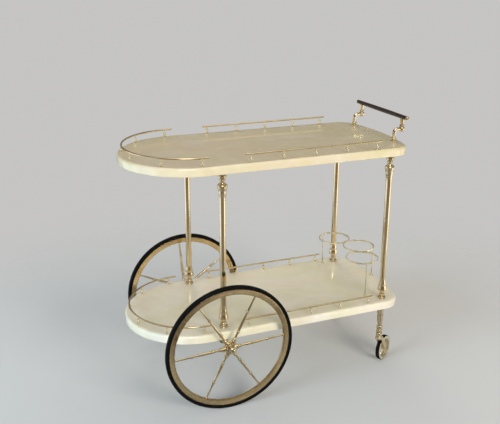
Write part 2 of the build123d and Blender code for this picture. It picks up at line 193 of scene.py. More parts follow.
def turned_outline(start: tuple[float, float], cuts: Sequence[Cut], fine: int = 10) -> Array:
    """The outline of a turned piece as (radius, height) rows in millimetres.

    Along a cut the share t runs from 0 to 1. A straight cut is linear in t, a flowing one
    follows 3t^2 - 2t^3 in radius, and a round one adds its swell times the half circle
    sqrt(1 - (2t - 1)^2); the other forms add swell times sin(pi t).

    Args:
        start: radius and height of the first station.
        cuts: the stretches that follow it.
        fine: how many steps a curved stretch has.

    Returns:
        An array of shape (n, 2).
    """
    rows = [np.array([start], float)]
    for cut in cuts:
        low = rows[-1][-1]
        curved = cut.swell != 0 or cut.form is not Form.STRAIGHT
        u = np.linspace(0, 1, fine + 1 if curved else 2)[1:]
        t = (1 - np.cos(np.pi * u)) / 2 if cut.form is Form.ROUND else u
        ease = t * t * (3 - 2 * t) if cut.form is Form.FLOWING else t
        bulge = np.sin(np.pi * u)
        radius = low[0] + (cut.radius - low[0]) * ease + cut.swell * bulge
        height = low[1] + (cut.height - low[1]) * t
        rows.append(np.stack([radius, height], axis=1))
    return np.concatenate(rows)


def softened(outline: Array, edge: float = SOFT_EDGE, closed: bool = False) -> Array:
    """The outline with each sharp corner rounded off.

    A corner that bends by more than SHARP_DEGREES becomes a quadratic curve from a point
    before it to a point after it, each at most the edge size or 0.4 of the run away.

    Args:
        outline: rows of (radius, height).
        edge: the largest distance from the corner to the start of its rounding.
        closed: whether the last row joins the first.

    Returns:
        The new rows, in the same order.
    """
    before = np.roll(outline, 1, axis=0) - outline
    after = np.roll(outline, -1, axis=0) - outline
    run_in = np.linalg.norm(before, axis=1, keepdims=True) + 1e-12
    run_out = np.linalg.norm(after, axis=1, keepdims=True) + 1e-12
    cosine = np.sum(before * after, axis=1, keepdims=True) / (run_in * run_out)
    sharp = cosine > -math.cos(math.radians(SHARP_DEGREES))
    if not closed:
        sharp[[0, -1]] = False
    first = outline + before / run_in * np.minimum(edge, 0.4 * run_in) * sharp
    last = outline + after / run_out * np.minimum(edge, 0.4 * run_out) * sharp
    t = np.linspace(0, 1, 5)[None, :, None]
    bends = (1 - t) ** 2 * first[:, None] + t**2 * last[:, None]
    bends = bends + 2 * t * (1 - t) * outline[:, None]
    flat = bends.reshape(-1, 2)
    kept = np.linalg.norm(flat - np.roll(flat, 1, axis=0), axis=1) > 1e-6
    kept[0] = True
    return flat[kept]


def hollowness(outline: Array, reach: float = 5.0) -> Array:
    """How deep each point of a turned outline lies below the outline's own average.

    The average radius at a point weighs its neighbours by a bell curve of their distance
    along the outline. The reading is the shortfall from it over DEEP_HOLLOW, held to 0
    to 1.

    Args:
        outline: rows of (radius, height) in millimetres.
        reach: the bell curve's width in millimetres.

    Returns:
        One reading for each row.
    """
    step = np.linalg.norm(np.diff(outline, axis=0, prepend=outline[:1]), axis=1)
    along = np.cumsum(step)
    weight = np.exp(-(((along[:, None] - along[None]) / reach) ** 2)) * (step[None] + 1e-9)
    mean = weight @ outline[:, 0] / weight.sum(axis=1)
    return np.clip((mean - outline[:, 0]) / DEEP_HOLLOW, 0, 1)


def grid_skin(points: Array, recess: Array, closed_rows: bool, closed_columns: bool) -> Skin:
    """A skin over a grid of points.

    Args:
        points: shape (rows, columns, 3), in metres.
        recess: one reading for each row.
        closed_rows: whether the last row joins the first.
        closed_columns: whether the last column joins the first.

    Returns:
        The skin, facing outwards.
    """
    rows, columns = points.shape[:2]
    index = np.arange(rows * columns).reshape(rows, columns)
    run = np.linalg.norm(np.diff(points[:, 0], axis=0, prepend=points[:1, 0]), axis=1).cumsum()
    row = np.arange(rows if closed_rows else rows - 1)[:, None]
    column = np.arange(columns if closed_columns else columns - 1)[None]
    up, on = (row + 1) % rows, (column + 1) % columns
    corners = [index[row, column], index[row, on], index[up, on], index[up, column]]
    faces = np.stack(corners, axis=-1).reshape(-1, 4)
    span = run[-1] / rows
    low = np.broadcast_to(run[row], corners[0].shape)
    high = np.broadcast_to(np.where(row + 1 < rows, run[up], run[-1] + span), corners[0].shape)
    left = np.broadcast_to(column / columns, corners[0].shape)
    right = left + 1 / columns
    uv = np.stack([left, low, right, low, right, high, left, high], axis=-1).reshape(-1, 4, 2)
    return Skin(points.reshape(-1, 3), faces, uv, np.repeat(recess, columns)).outward()


def lathe(outline: Array, segments: int = FINE_SEGMENTS, closed: bool = False) -> Skin:
    """A turned piece about Z: radius r at angle a and height h is (r cos a, r sin a, h).

    Args:
        outline: rows of (radius, height) in millimetres, from axis to axis or a loop.
        segments: how many steps go round.
        closed: whether the outline is a loop, as a ring's section is.

    Returns:
        The surface in metres.
    """
    angle = np.linspace(0, 2 * np.pi, segments, endpoint=False)
    radius, height = outline[:, :1] * MM, outline[:, 1:] * MM
    ring = (radius * np.cos(angle), radius * np.sin(angle), height + 0 * angle)
    return grid_skin(np.stack(ring, axis=-1), hollowness(outline), closed, True)


def turned(
    start: tuple[float, float],
    *cuts: Cut,
    segments: int = FINE_SEGMENTS,
    edge: float = SOFT_EDGE,
    fine: int = 10,
) -> Skin:
    """A turned piece from its stations, with its corners softened."""
    return lathe(softened(turned_outline(start, cuts, fine), edge), segments)


def ring_outline(inner: float, outer: float, half: float, edge: float) -> Array:
    """A ring's section as a loop: a rectangle with rounded corners.

    The loop is the superellipse |x|^n + |y|^n = 1 stretched to the section, with its
    power n growing as the corners get smaller than the section.

    Args:
        inner: the ring's inner radius in millimetres.
        outer: its outer radius.
        half: half of its width.
        edge: the size of its rounded corners.

    Returns:
        Rows of (radius, height) round the section.
    """
    a = np.linspace(0, 2 * np.pi, 32, endpoint=False)
    power = 2 / max(2.0, (outer - inner + 2 * half) / (2 * edge))
    x = np.sign(np.cos(a)) * np.abs(np.cos(a)) ** power
    y = np.sign(np.sin(a)) * np.abs(np.sin(a)) ** power
    middle, reach = (inner + outer) / 2, (outer - inner) / 2
    return np.stack([middle + reach * x, half * y], axis=1)


def carried(path: Array, radius: Array, across: Array, sides: int = 20, flat: float = 1.0) -> Skin:
    """A round section carried along a flat path, closed with domed ends.

    A section point at angle a is path + radius (across cos a + flat upright sin a), where
    upright is the path's direction crossed with across. At the ends the centre runs on by
    radius sin b while the section shrinks by cos b, for b up to a right angle.

    Args:
        path: rows of points in millimetres.
        radius: the section's radius at each row.
        across: the direction square to the plane that the path lies in.
        sides: how many steps go round the section.
        flat: the section's size along upright as a share of its radius.

    Returns:
        The surface in metres.
    """
    ahead = np.gradient(path, axis=0)
    ahead /= np.linalg.norm(ahead, axis=1, keepdims=True)
    b = np.linspace(0, np.pi / 2, 7)[1:]
    out, shrink = np.sin(b)[:, None], np.cos(b)
    first = path[:1] - ahead[:1] * radius[0] * out[::-1]
    last = path[-1:] + ahead[-1:] * radius[-1] * out
    centre = np.concatenate([first, path, last])
    size = np.concatenate([radius[0] * shrink[::-1], radius, radius[-1] * shrink])[:, None, None]
    course = np.pad(ahead, ((len(b), len(b)), (0, 0)), mode="edge")
    upright = np.cross(course, across)
    a = np.linspace(0, 2 * np.pi, sides, endpoint=False)[None, :, None]
    points = centre[:, None] + size * (np.cos(a) * across + flat * np.sin(a) * upright[:, None])
    return grid_skin(points * MM, np.zeros(len(points)), False, True)


def slab(outline: Array, inward: Array, spine: Array, profile: Array, rings: int = 10) -> Skin:
    """A flat piece with a shaped edge, closed over its middle line.

    The edge carries (inset, height) stations round the outline, each point moved inwards
    by its inset. Above and below, rings shrink from the last station to the spine, the
    points on the middle line that the outline's points close on.

    Args:
        outline: rows of (x, y) in millimetres, going round.
        inward: the unit direction into the piece at each row.
        spine: for each row, where it closes on the middle line.
        profile: (inset, height) stations from the upper face to the lower one.
        rings: how many rings cover each face.

    Returns:
        The surface in metres.
    """
    edge = outline[None] + inward[None] * profile[:, :1, None]
    share = np.linspace(0, 1, rings + 1)[1:, None, None]
    top = edge[:1] * (1 - share[::-1]) + spine[None] * share[::-1]
    bottom = edge[-1:] * (1 - share) + spine[None] * share
    plan = np.concatenate([top, edge, bottom])
    height = np.pad(profile[:, 1], rings, mode="edge")[:, None, None]
    points = np.concatenate([plan, np.broadcast_to(height, (*plan.shape[:2], 1))], axis=2)
    return grid_skin(points * MM, np.zeros(len(points)), False, True)


def in_scene(name: str, data: bpy.types.ID) -> bpy.types.Object:
    """A new object in the scene.

    Args:
        name: the object's name.
        data: its mesh, lamp or camera.

    Returns:
        The object.
    """
    made = bpy.data.objects.new(name, data)
    bpy.context.scene.collection.objects.link(made)
    return made


def make_mesh(name: str, skins: Sequence[Skin], crease: float = 38.0) -> bpy.types.Mesh:
    """One mesh of several skins, with poles and seams welded.

    Args:
        name: the mesh's name.
        skins: the closed surfaces that it holds.
        crease: edges that bend by more than this many degrees stay sharp.

    Returns:
        The mesh, with a UV map named turning and a point reading named recess.
    """
    points, faces, uv, recess, count = [], [], [], [], 0
    for skin in skins:
        spots = np.round(skin.points * 1e7)
        _, first, same = np.unique(spots, axis=0, return_index=True, return_inverse=True)
        points.append(skin.points[first])
        recess.append(skin.recess[first])
        faces.append(same.reshape(-1)[skin.faces] + count)
        uv.append(skin.uv)
        count += len(first)
    face, corner_uv = np.concatenate(faces), np.concatenate(uv)
    double = face == np.roll(face, -1, axis=1)
    whole, pinched = double.sum(axis=1) == 0, double.sum(axis=1) == 1
    three = ~double[pinched]
    polygons = face[whole].tolist() + face[pinched][three].reshape(-1, 3).tolist()
    mesh = bpy.data.meshes.new(name)
    mesh.from_pydata(np.concatenate(points).tolist(), [], polygons)
    layer = mesh.uv_layers.new(name="turning")
    flat = np.concatenate([corner_uv[whole].reshape(-1, 2), corner_uv[pinched][three]])
    layer.data.foreach_set("uv", flat.astype(np.float32).ravel())
    hollow = mesh.attributes.new("recess", "FLOAT", "POINT")
    hollow.data.foreach_set("value", np.concatenate(recess).astype(np.float32))
    mesh.shade_smooth()
    mesh.set_sharp_from_angle(angle=math.radians(crease))
    mesh.validate()
    return mesh


class Wiring:
    """Adds and joins the nodes of one material or of the world."""

    def __init__(self, owner: bpy.types.Material | bpy.types.World) -> None:
        """Empties the owner's node tree.

        Args:
            owner: the material or world whose nodes are laid.
        """
        owner.use_nodes = True
        self.owner = owner
        self.tree = owner.node_tree
        self.tree.nodes.clear()

    def node(
        self, kind: str, settings: dict[str, object] | None = None, **inputs: object
    ) -> bpy.types.Node:
        """A node with its settings and its inputs, each a value or another node's output.

        Args:
            kind: the node's type without its ShaderNode prefix.
            settings: properties of the node.
            inputs: values or sockets, by the input's name with _ for each space.

        Returns:
            The node.
        """
        made = self.tree.nodes.new("ShaderNode" + kind)
        for key, value in (settings or {}).items():
            setattr(made, key, value)
        for key, value in inputs.items():
            self.plug(made.inputs[key.replace("_", " ")], value)
        return made

    def plug(self, socket: Socket, value: object) -> None:
        """Sets a socket, or links it when the value is an output.

        Args:
            socket: the input to fill.
            value: a number, a colour, a vector, or another node's output.
        """
        if isinstance(value, Socket):
            self.tree.links.new(value, socket)
        elif isinstance(value, tuple) and len(value) == 3 and socket.type == "RGBA":
            socket.default_value = (*value, 1.0)
        else:
            socket.default_value = value

    def mix(self, share: object, low: object, high: object) -> Socket:
        """A colour that runs from low to high as share goes from 0 to 1.

        Args:
            share: how much of high there is.
            low: the colour at 0.
            high: the colour at 1.

        Returns:
            The colour's output.
        """
        made = self.node("Mix", {"data_type": "RGBA"})
        for place, value in ((0, share), (6, low), (7, high)):
            self.plug(made.inputs[place], value)
        return made.outputs[2]

    def maths(self, operation: str, *values: object) -> Socket:
        """The result of one sum on numbers or outputs.

        Args:
            operation: the sum's name, such as MULTIPLY.
            values: its numbers or outputs, in order.

        Returns:
            The result's output.
        """
        made = self.node("Math", {"operation": operation})
        for place, value in enumerate(values):
            self.plug(made.inputs[place], value)
        return made.outputs[0]

    def vectors(self, operation: str, *values: object) -> Socket:
        """The result of one sum on vectors or outputs.

        Args:
            operation: the sum's name, such as ADD.
            values: its vectors or outputs, in order.

        Returns:
            The result's output, which is a number for a length or a dot product.
        """
        made = self.node("VectorMath", {"operation": operation})
        for place, value in enumerate(values):
            self.plug(made.inputs[place], value)
        return next(socket for socket in made.outputs if socket.enabled)

    def blend(self, share: object, first: Socket, second: Socket) -> Socket:
        """A shader that goes from the first to the second as share goes from 0 to 1.

        Args:
            share: how much of the second there is.
            first: the shader at 0.
            second: the shader at 1.

        Returns:
            The shader's output.
        """
        made = self.node("MixShader")
        for place, value in enumerate((share, first, second)):
            self.plug(made.inputs[place], value)
        return made.outputs[0]

    def spread(
        self, value: object, low: float, high: float, start: float = 0.0, end: float = 1.0
    ) -> Socket:
        """Value carried from the range low to high onto start to end, and held there."""
        ends = {"From_Min": low, "From_Max": high, "To_Min": start, "To_Max": end}
        return self.node("MapRange", Value=value, **ends).outputs[0]

    def noise(
        self, where: object, scale: float, detail: float = 4.0, roughness: float = 0.5
    ) -> Socket:
        """A cloudy reading from 0 to 1 at this many waves to the metre."""
        grain = {"Scale": scale, "Detail": detail, "Roughness": roughness}
        return self.node("TexNoise", Vector=where, **grain).outputs[0]

    def place(self) -> Socket:
        """The point's own place on the object, in metres."""
        return self.node("TexCoord").outputs["Object"]

    def stretched(self, where: object, scale: Spot) -> Socket:
        """A place with its axes stretched."""
        return self.node("Mapping", Vector=where, Scale=scale).outputs[0]

    def bump(self, height: object, strength: float, distance: float) -> Socket:
        """A surface direction that follows a height, with its depth in metres."""
        return self.node("Bump", Height=height, Strength=strength, Distance=distance).outputs[0]

    def finish(self, **inputs: object) -> bpy.types.Material:
        """Ends the material in a Principled shader.

        Args:
            inputs: the shader's inputs, by name with _ for each space.

        Returns:
            The material.
        """
        shader = self.node("BsdfPrincipled", **inputs)
        self.node("OutputMaterial", Surface=shader.outputs[0])
        return self.owner


@dataclass(frozen=True)
class PolishedBrass:
    """Hand-polished brass, darker in its hollows from painted shade and tarnish, with fine turning
    lines.
    """

    name: str = "polished_brass"
    bright: Colour = (0.90, 0.785, 0.55)
    deep: Colour = (0.80, 0.645, 0.395)
    tarnish_and_shade: Colour = (0.16, 0.10, 0.04)
    shine: float = 0.11
    metal: float = 1.0

    def make(self) -> bpy.types.Material:
        """The brass as a material.

        The tone drifts between bright and deep with clouds 40 mm wide, and goes to a dark tarnish
        colour by the recess reading of the surface, which is painted shade in the hollows as well
        as tarnish, and by fine specks of dirt. Turning lines are a noise along the outline only.

        Returns:
            The material.
        """
        w = Wiring(bpy.data.materials.new(self.name))
        here = w.place()
        clouds = w.spread(w.noise(here, 24, 3), 0.35, 0.7)
        tone = w.mix(clouds, self.bright, self.deep)
        # Painted shade and tarnish: the deeper a point lies in a hollow, the darker the brass; fine
        # specks add dirt.
        hollow = w.node("Attribute", {"attribute_name": "recess"}).outputs["Fac"]
        specks = w.spread(w.noise(here, 420, 5, 0.6), 0.62, 0.78)
        shade_and_specks = w.spread(hollow, 0.2, 0.9, 0.0, 0.7)
        shade_and_specks = w.maths("ADD", shade_and_specks, w.maths("MULTIPLY", specks, 0.22))
        uneven = w.spread(w.noise(here, 90, 4), 0.3, 0.6, 0.45, 1.0)
        shade_and_dirt = w.maths("MULTIPLY", shade_and_specks, uneven)
        shade = w.mix(shade_and_dirt, tone, self.tarnish_and_shade)
        along = w.node("UVMap", {"uv_map": "turning"}).outputs[0]
        lines = w.noise(w.stretched(along, (0.7, 5200.0, 1.0)), 1.0, 2)
        scuffs = w.noise(w.stretched(here, (380.0, 90.0, 240.0)), 1.0, 3)
        relief = w.maths("ADD", w.maths("MULTIPLY", lines, 0.5), w.maths("MULTIPLY", scuffs, 0.5))
        rubbed = w.spread(w.noise(here, 60, 5), 0.3, 0.7, self.shine * 0.7, self.shine * 1.6)
        return w.finish(
            Base_Color=shade,
            Metallic=self.metal,
            Roughness=w.maths("ADD", rubbed, w.maths("MULTIPLY", shade_and_dirt, 0.3)),
            Normal=w.bump(relief, 0.12, 0.00006),
        )


@dataclass(frozen=True)
class IvoryLacquer:
    """Cream lacquer over a mottled ground, rubbed to a gloss."""

    name: str = "ivory_lacquer"
    cream: Colour = (0.79, 0.67, 0.43)
    rosy: Colour = (0.79, 0.637, 0.435)
    straw: Colour = (0.725, 0.637, 0.378)
    milky: Colour = (0.835, 0.765, 0.585)
    shade: Colour = (0.59, 0.475, 0.28)

    def make(self) -> bpy.types.Material:
        """The lacquer as a material.

        Broad rosy and straw patches, bent by a swirling noise, lie on the cream. Milky
        clouds, faint cells a finger wide, as on a dyed hide, and fine pores shift it
        again, all under a clear coat with a faint ripple.

        Returns:
            The material.
        """
        w = Wiring(bpy.data.materials.new(self.name))
        here = w.place()
        swirl = w.node("TexNoise", Vector=here, Scale=7.0, Detail=3.0, Roughness=0.55)
        bent = w.vectors("MULTIPLY_ADD", swirl.outputs["Color"], (0.16, 0.16, 0.16), here)
        hue = w.noise(w.stretched(bent, (4.5, 9.0, 4.5)), 1.0, 2)
        ground = w.mix(w.spread(hue, 0.34, 0.5), self.straw, self.cream)
        ground = w.mix(w.spread(hue, 0.5, 0.66), ground, self.rosy)
        cloud = w.spread(w.noise(w.stretched(bent, (9.0, 14.0, 9.0)), 1.0, 4, 0.55), 0.44, 0.7)
        veiled = w.mix(w.maths("MULTIPLY", cloud, 0.6), ground, self.milky)
        soft = {"feature": "SMOOTH_F1"}
        cells = w.node("TexVoronoi", soft, Vector=bent, Scale=40.0, Smoothness=0.8)
        patch = w.spread(cells.outputs["Distance"], 0.2, 0.8)
        celled = w.mix(w.maths("MULTIPLY", patch, 0.22), veiled, self.shade)
        pores = w.spread(w.noise(here, 620, 4, 0.6), 0.58, 0.76)
        dotted = w.mix(w.maths("MULTIPLY", pores, 0.12), celled, self.shade)
        ripple = w.noise(here, 46, 2)
        return w.finish(
            Base_Color=dotted,
            Roughness=w.spread(w.noise(here, 20, 3), 0.3, 0.7, 0.30, 0.40),
            Specular_IOR_Level=0.3,
            Coat_Weight=1.0,
            Coat_Roughness=0.04,
            Coat_IOR=1.6,
            Normal=w.bump(ripple, 0.05, 0.0004),
        )


@dataclass(frozen=True)
class BlackRubber:
    """Solid black tyre rubber, greyed a little on its tread."""

    name: str = "black_rubber"
    black: Colour = (0.004, 0.004, 0.0045)
    dusty: Colour = (0.014, 0.0135, 0.013)

    def make(self) -> bpy.types.Material:
        """The rubber as a material, with fine grain and uneven dust.

        Returns:
            The material.
        """
        w = Wiring(bpy.data.materials.new(self.name))
        here = w.place()
        dust = w.spread(w.noise(here, 38, 6, 0.65), 0.48, 0.72, 0.0, 0.55)
        grain = w.noise(here, 1500, 3)
        gloss = w.spread(w.noise(here, 70, 4), 0.3, 0.7, 0.5, 0.68)
        return w.finish(
            Base_Color=w.mix(dust, self.black, self.dusty),
            Roughness=gloss,
            Specular_IOR_Level=0.08,
            Normal=w.bump(grain, 0.25, 0.0001),
        )


@dataclass(frozen=True)
class DarkWood:
    """Dark stained wood with its grain along the bar, under a worn polish."""

    name: str = "dark_wood"
    dark: Colour = (0.010, 0.006, 0.004)
    light: Colour = (0.042, 0.022, 0.012)

    def make(self) -> bpy.types.Material:
        """The wood as a material: long rings and short pores, both drawn out along Y.

        Returns:
            The material.
        """
        w = Wiring(bpy.data.materials.new(self.name))
        here = w.place()
        rings = w.spread(w.noise(w.stretched(here, (260.0, 9.0, 260.0)), 1.0, 6, 0.6), 0.35, 0.7)
        pores = w.spread(w.noise(w.stretched(here, (1500.0, 60.0, 1500.0)), 1.0, 3), 0.55, 0.75)
        tone = w.mix(rings, self.light, self.dark)
        return w.finish(
            Base_Color=w.mix(w.maths("MULTIPLY", pores, 0.6), tone, self.dark),
            Roughness=w.spread(rings, 0.0, 1.0, 0.28, 0.42),
            Coat_Weight=0.25,
            Coat_Roughness=0.2,
            Specular_IOR_Level=0.35,
            Normal=w.bump(pores, 0.3, 0.0001),
        )


# Painted light: the lower board's lacquer is a paler copy of the ivory lacquer, for the stronger
# light that reaches the lower board, while the top board keeps the darker copy.
LOWER_BOARD_LIT_LACQUER = IvoryLacquer(
    "lit_pale_lacquer",
    cream=(0.895, 0.815, 0.625),
    rosy=(0.895, 0.79, 0.63),
    straw=(0.845, 0.785, 0.56),
    milky=(0.915, 0.875, 0.75),
    shade=(0.72, 0.63, 0.45),
)
# Painted shade: a darker, deeper-toned copy of the polished brass for the wheel rims.
RIM_SHADED_BRASS = PolishedBrass("shaded_rim_brass", (0.89, 0.68, 0.385), (0.73, 0.53, 0.275), shine=0.2)
# Painted light: a paler, more neutral copy of the brass, partly diffuse so that it catches the
# lamps, for the posts, caster wheels and bottle hoops, standing in for sunlight and bright
# reflections on them.
POST_LIT_BRASS = PolishedBrass(
    "lit_pale_brass", (0.965, 0.885, 0.67), (0.905, 0.79, 0.54), shine=0.16, metal=0.84
)
# Painted shade: a slightly darker copy of the polished brass for the rails and spokes.
RAIL_SHADED_BRASS = PolishedBrass("shaded_thin_brass", (0.86, 0.735, 0.48), (0.75, 0.59, 0.345), shine=0.13)


class Finishes:
    """The cart's finishes, made once and shared."""

    def __init__(self) -> None:
        """Makes each material, and notes which slot of the record it belongs to."""
        self.brass = PolishedBrass().make()
        self.shaded_rim_brass = RIM_SHADED_BRASS.make()
        self.lit_pale_brass = POST_LIT_BRASS.make()
        self.shaded_thin_brass = RAIL_SHADED_BRASS.make()
        self.lacquer = IvoryLacquer().make()
        self.lit_pale_lacquer = LOWER_BOARD_LIT_LACQUER.make()
        self.rubber = BlackRubber().make()
        self.wood = DarkWood().make()
        self.slots = {
            self.lacquer: "lacquer",
            self.lit_pale_lacquer: "lacquer",
            self.rubber: "tyre",
            self.wood: "dark_wood",
        }

    def slot_of(self, material: bpy.types.Material) -> str:
        """The record's slot that a finish belongs to."""
        return self.slots.get(material, "brass")


@dataclass
class Assembly:
    """A sub-assembly: its finishes, and the body of the frame that it rides on."""

    finishes: Finishes
    body: str = "cart_frame"

    def piece(
        self,
        name: str,
        skins: Sequence[Skin],
        finish: bpy.types.Material,
        nodes: Sequence[str],
        body: str = "",
    ) -> None:
        """Makes one piece of the cart and ties it to the frame.

        Args:
            name: the piece's name.
            skins: its closed surfaces.
            finish: its material.
            nodes: the CAD nodes that it stands for, alone or with other pieces.
            body: the body that it rides on, if it isn't the sub-assembly's own.
        """
        mesh = make_mesh(name, skins)
        mesh.materials.append(finish)
        made = in_scene(name, mesh)
        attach(made, body or self.body)
        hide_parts(*nodes)
        self.finishes.slot_of(finish)
        log.info("%s: %d points", name, len(mesh.vertices))


@dataclass
class Tray(Assembly):
    """A lacquered board, round at the wheel end and bowed at the handle end."""

    name: str = "top"
    under: float = TOP_SURFACE - BOARD_THICKNESS
    thickness: float = BOARD_THICKNESS
    half_length: float = 382.0
    half_width: float = 178.0
    nose_x: float = NOSE_X
    bow: float = 600.0
    corner: float = 53.0
    upper_edge: float = 6.5
    lower_edge: float = 2.0

    def outline(self) -> tuple[Array, Array, Array]:
        """The board's outline, its inward directions and the middle line it closes on.

        Arcs give their centre plus radius times the outward direction, and a straight
        side joins them. The middle line runs along y = 0, and each outline point closes
        on the point of it with the nearest x.

        Returns:
            The outline, the inward directions and the closing points, as (n, 2) arrays.
        """
        reach = self.bow - self.corner
        corner_y = self.half_width - self.corner
        corner_x = self.half_length - self.bow + math.sqrt(reach**2 - corner_y**2)
        lean = math.asin(corner_y / reach)
        quarter = math.pi / 2
        arcs = [
            (self.half_length - self.bow, 0.0, self.bow, -lean, lean, 24),
            (corner_x, corner_y, self.corner, lean, quarter, 24),
            (self.nose_x, 0.0, self.half_width, quarter, 3 * quarter, 96),
            (corner_x, -corner_y, self.corner, -quarter, -lean, 24),
        ]
        outline, outward = [], []
        for x, y, radius, start, end, steps in arcs:
            a = np.linspace(start, end, steps, endpoint=False)
            direction = np.stack([np.cos(a), np.sin(a)], axis=1)
            outline.append(np.array([x, y]) + radius * direction)
            outward.append(direction)
        for place, sign in ((2, 1), (4, -1)):
            x = np.linspace(corner_x, self.nose_x, 40, endpoint=False)[:: sign]
            side = np.stack([x, np.full_like(x, sign * self.half_width)], axis=1)
            outline.insert(place, side)
            outward.insert(place, np.broadcast_to([0.0, float(sign)], side.shape))
        edge, out = np.concatenate(outline), np.concatenate(outward)
        middle = np.clip(edge[:, 0], self.nose_x, corner_x)
        return edge, -out, np.stack([middle, 0 * middle], axis=1)

    def build(self) -> None:
        """Makes the board: a quarter-round upper edge, a plain side, a small lower round."""
        edge, inward, spine = self.outline()
        a = np.linspace(0, np.pi / 2, 9)
        big, small, top = self.upper_edge, self.lower_edge, self.under + self.thickness
        upper = np.stack([big * (1 - np.sin(a)), top - big * (1 - np.cos(a))], axis=1)
        b = a[::2]
        lower = np.stack([small * (1 - np.cos(b)), self.under + small * (1 - np.sin(b))], axis=1)
        board = slab(edge, inward, spine, np.concatenate([upper, lower]), rings=14)
        # The lower board takes the paler copy of the lacquer, which is painted light.
        lacquer = self.finishes.lacquer if self.name == "top" else self.finishes.lit_pale_lacquer
        self.piece(f"{self.name}_board", [board], lacquer, [f"{self.name}_tray"])


@dataclass
class Gallery(Assembly):
    """The rails round one tray, and the small posts that carry them."""

    name: str = "top"
    surface: float = TOP_SURFACE
    inset_y: float = 165.5
    nose_x: float = NOSE_X
    height: float = 20.0
    rail: float = 2.4
    first_post: float = -93.4
    pitch: float = 88.8
    count: int = 5
    overhang: float = 14.0
    nose_count: int = 6
    nose_step: float = 34.2
    nose_end: float = 6.5

    def post(self) -> Skin:
        """One turned post: foot disc, pear bead, slim neck and a collar under the rail.

        Returns:
            The post, standing on z = 0.
        """
        top = self.height - 1.4
        return turned(
            (0, 0),
            Cut(3.1, 0),
            Cut(3.1, 0.9),
            Cut(1.9, 1.5),
            bead(1.8, 2.6, -0.25),
            bead(1.7, 11.4, 2.6),
            Cut(1.9, 12.0),
            flow(1.35, 13.0),
            Cut(1.3, 15.0),
            bead(2.1, 16.0, 0.3),
            Cut(1.8, top),
            Cut(0, top),
            segments=36,
            edge=0.2,
            fine=18,
        )

    def run(self, word: str, path: Array, places: Sequence[Array]) -> None:
        """Makes one rail along a path, and the posts under it.

        Args:
            word: which of the tray's rails it is.
            path: rows of points in millimetres along the rail's middle.
            places: where each post stands.
        """
        rail = carried(path, np.full(len(path), self.rail), UP)
        node = f"{self.name}_tray_{word}_rail"
        self.piece(f"{self.name}_{word}_rail", [rail], self.finishes.shaded_thin_brass, [node])
        posts = set_at([self.post()], *places)
        self.piece(f"{self.name}_{word}_posts", posts, self.finishes.lit_pale_brass, [node + "_posts"])

    def build(self) -> None:
        """Makes both straight rails, the curved rail and all the posts."""
        z = self.surface + self.height
        spots = self.first_post + self.pitch * np.arange(self.count)
        low, high = spots[0] - self.overhang, spots[-1] + self.overhang
        x = np.linspace(low + self.rail, high - self.rail, 30)
        for side in Side:
            y = side.value * self.inset_y
            path = np.stack([x, np.full_like(x, y), np.full_like(x, z)], axis=1)
            self.run(side.word, path, [shifted(spot, y, self.surface) for spot in spots])
        half = (self.nose_count - 1) * self.nose_step / 2 + self.nose_end
        a = np.radians(np.linspace(180 - half, 180 + half, 140))
        x, y = self.nose_x + self.inset_y * np.cos(a), self.inset_y * np.sin(a)
        turns = 180 + self.nose_step * (np.arange(self.nose_count) - (self.nose_count - 1) / 2)
        middle = shifted(self.nose_x, 0, self.surface)
        places = [middle @ turned_by(turn, "Z") @ shifted(self.inset_y) for turn in turns]
        self.run("nose", np.stack([x, y, 0 * a + z], axis=1), places)


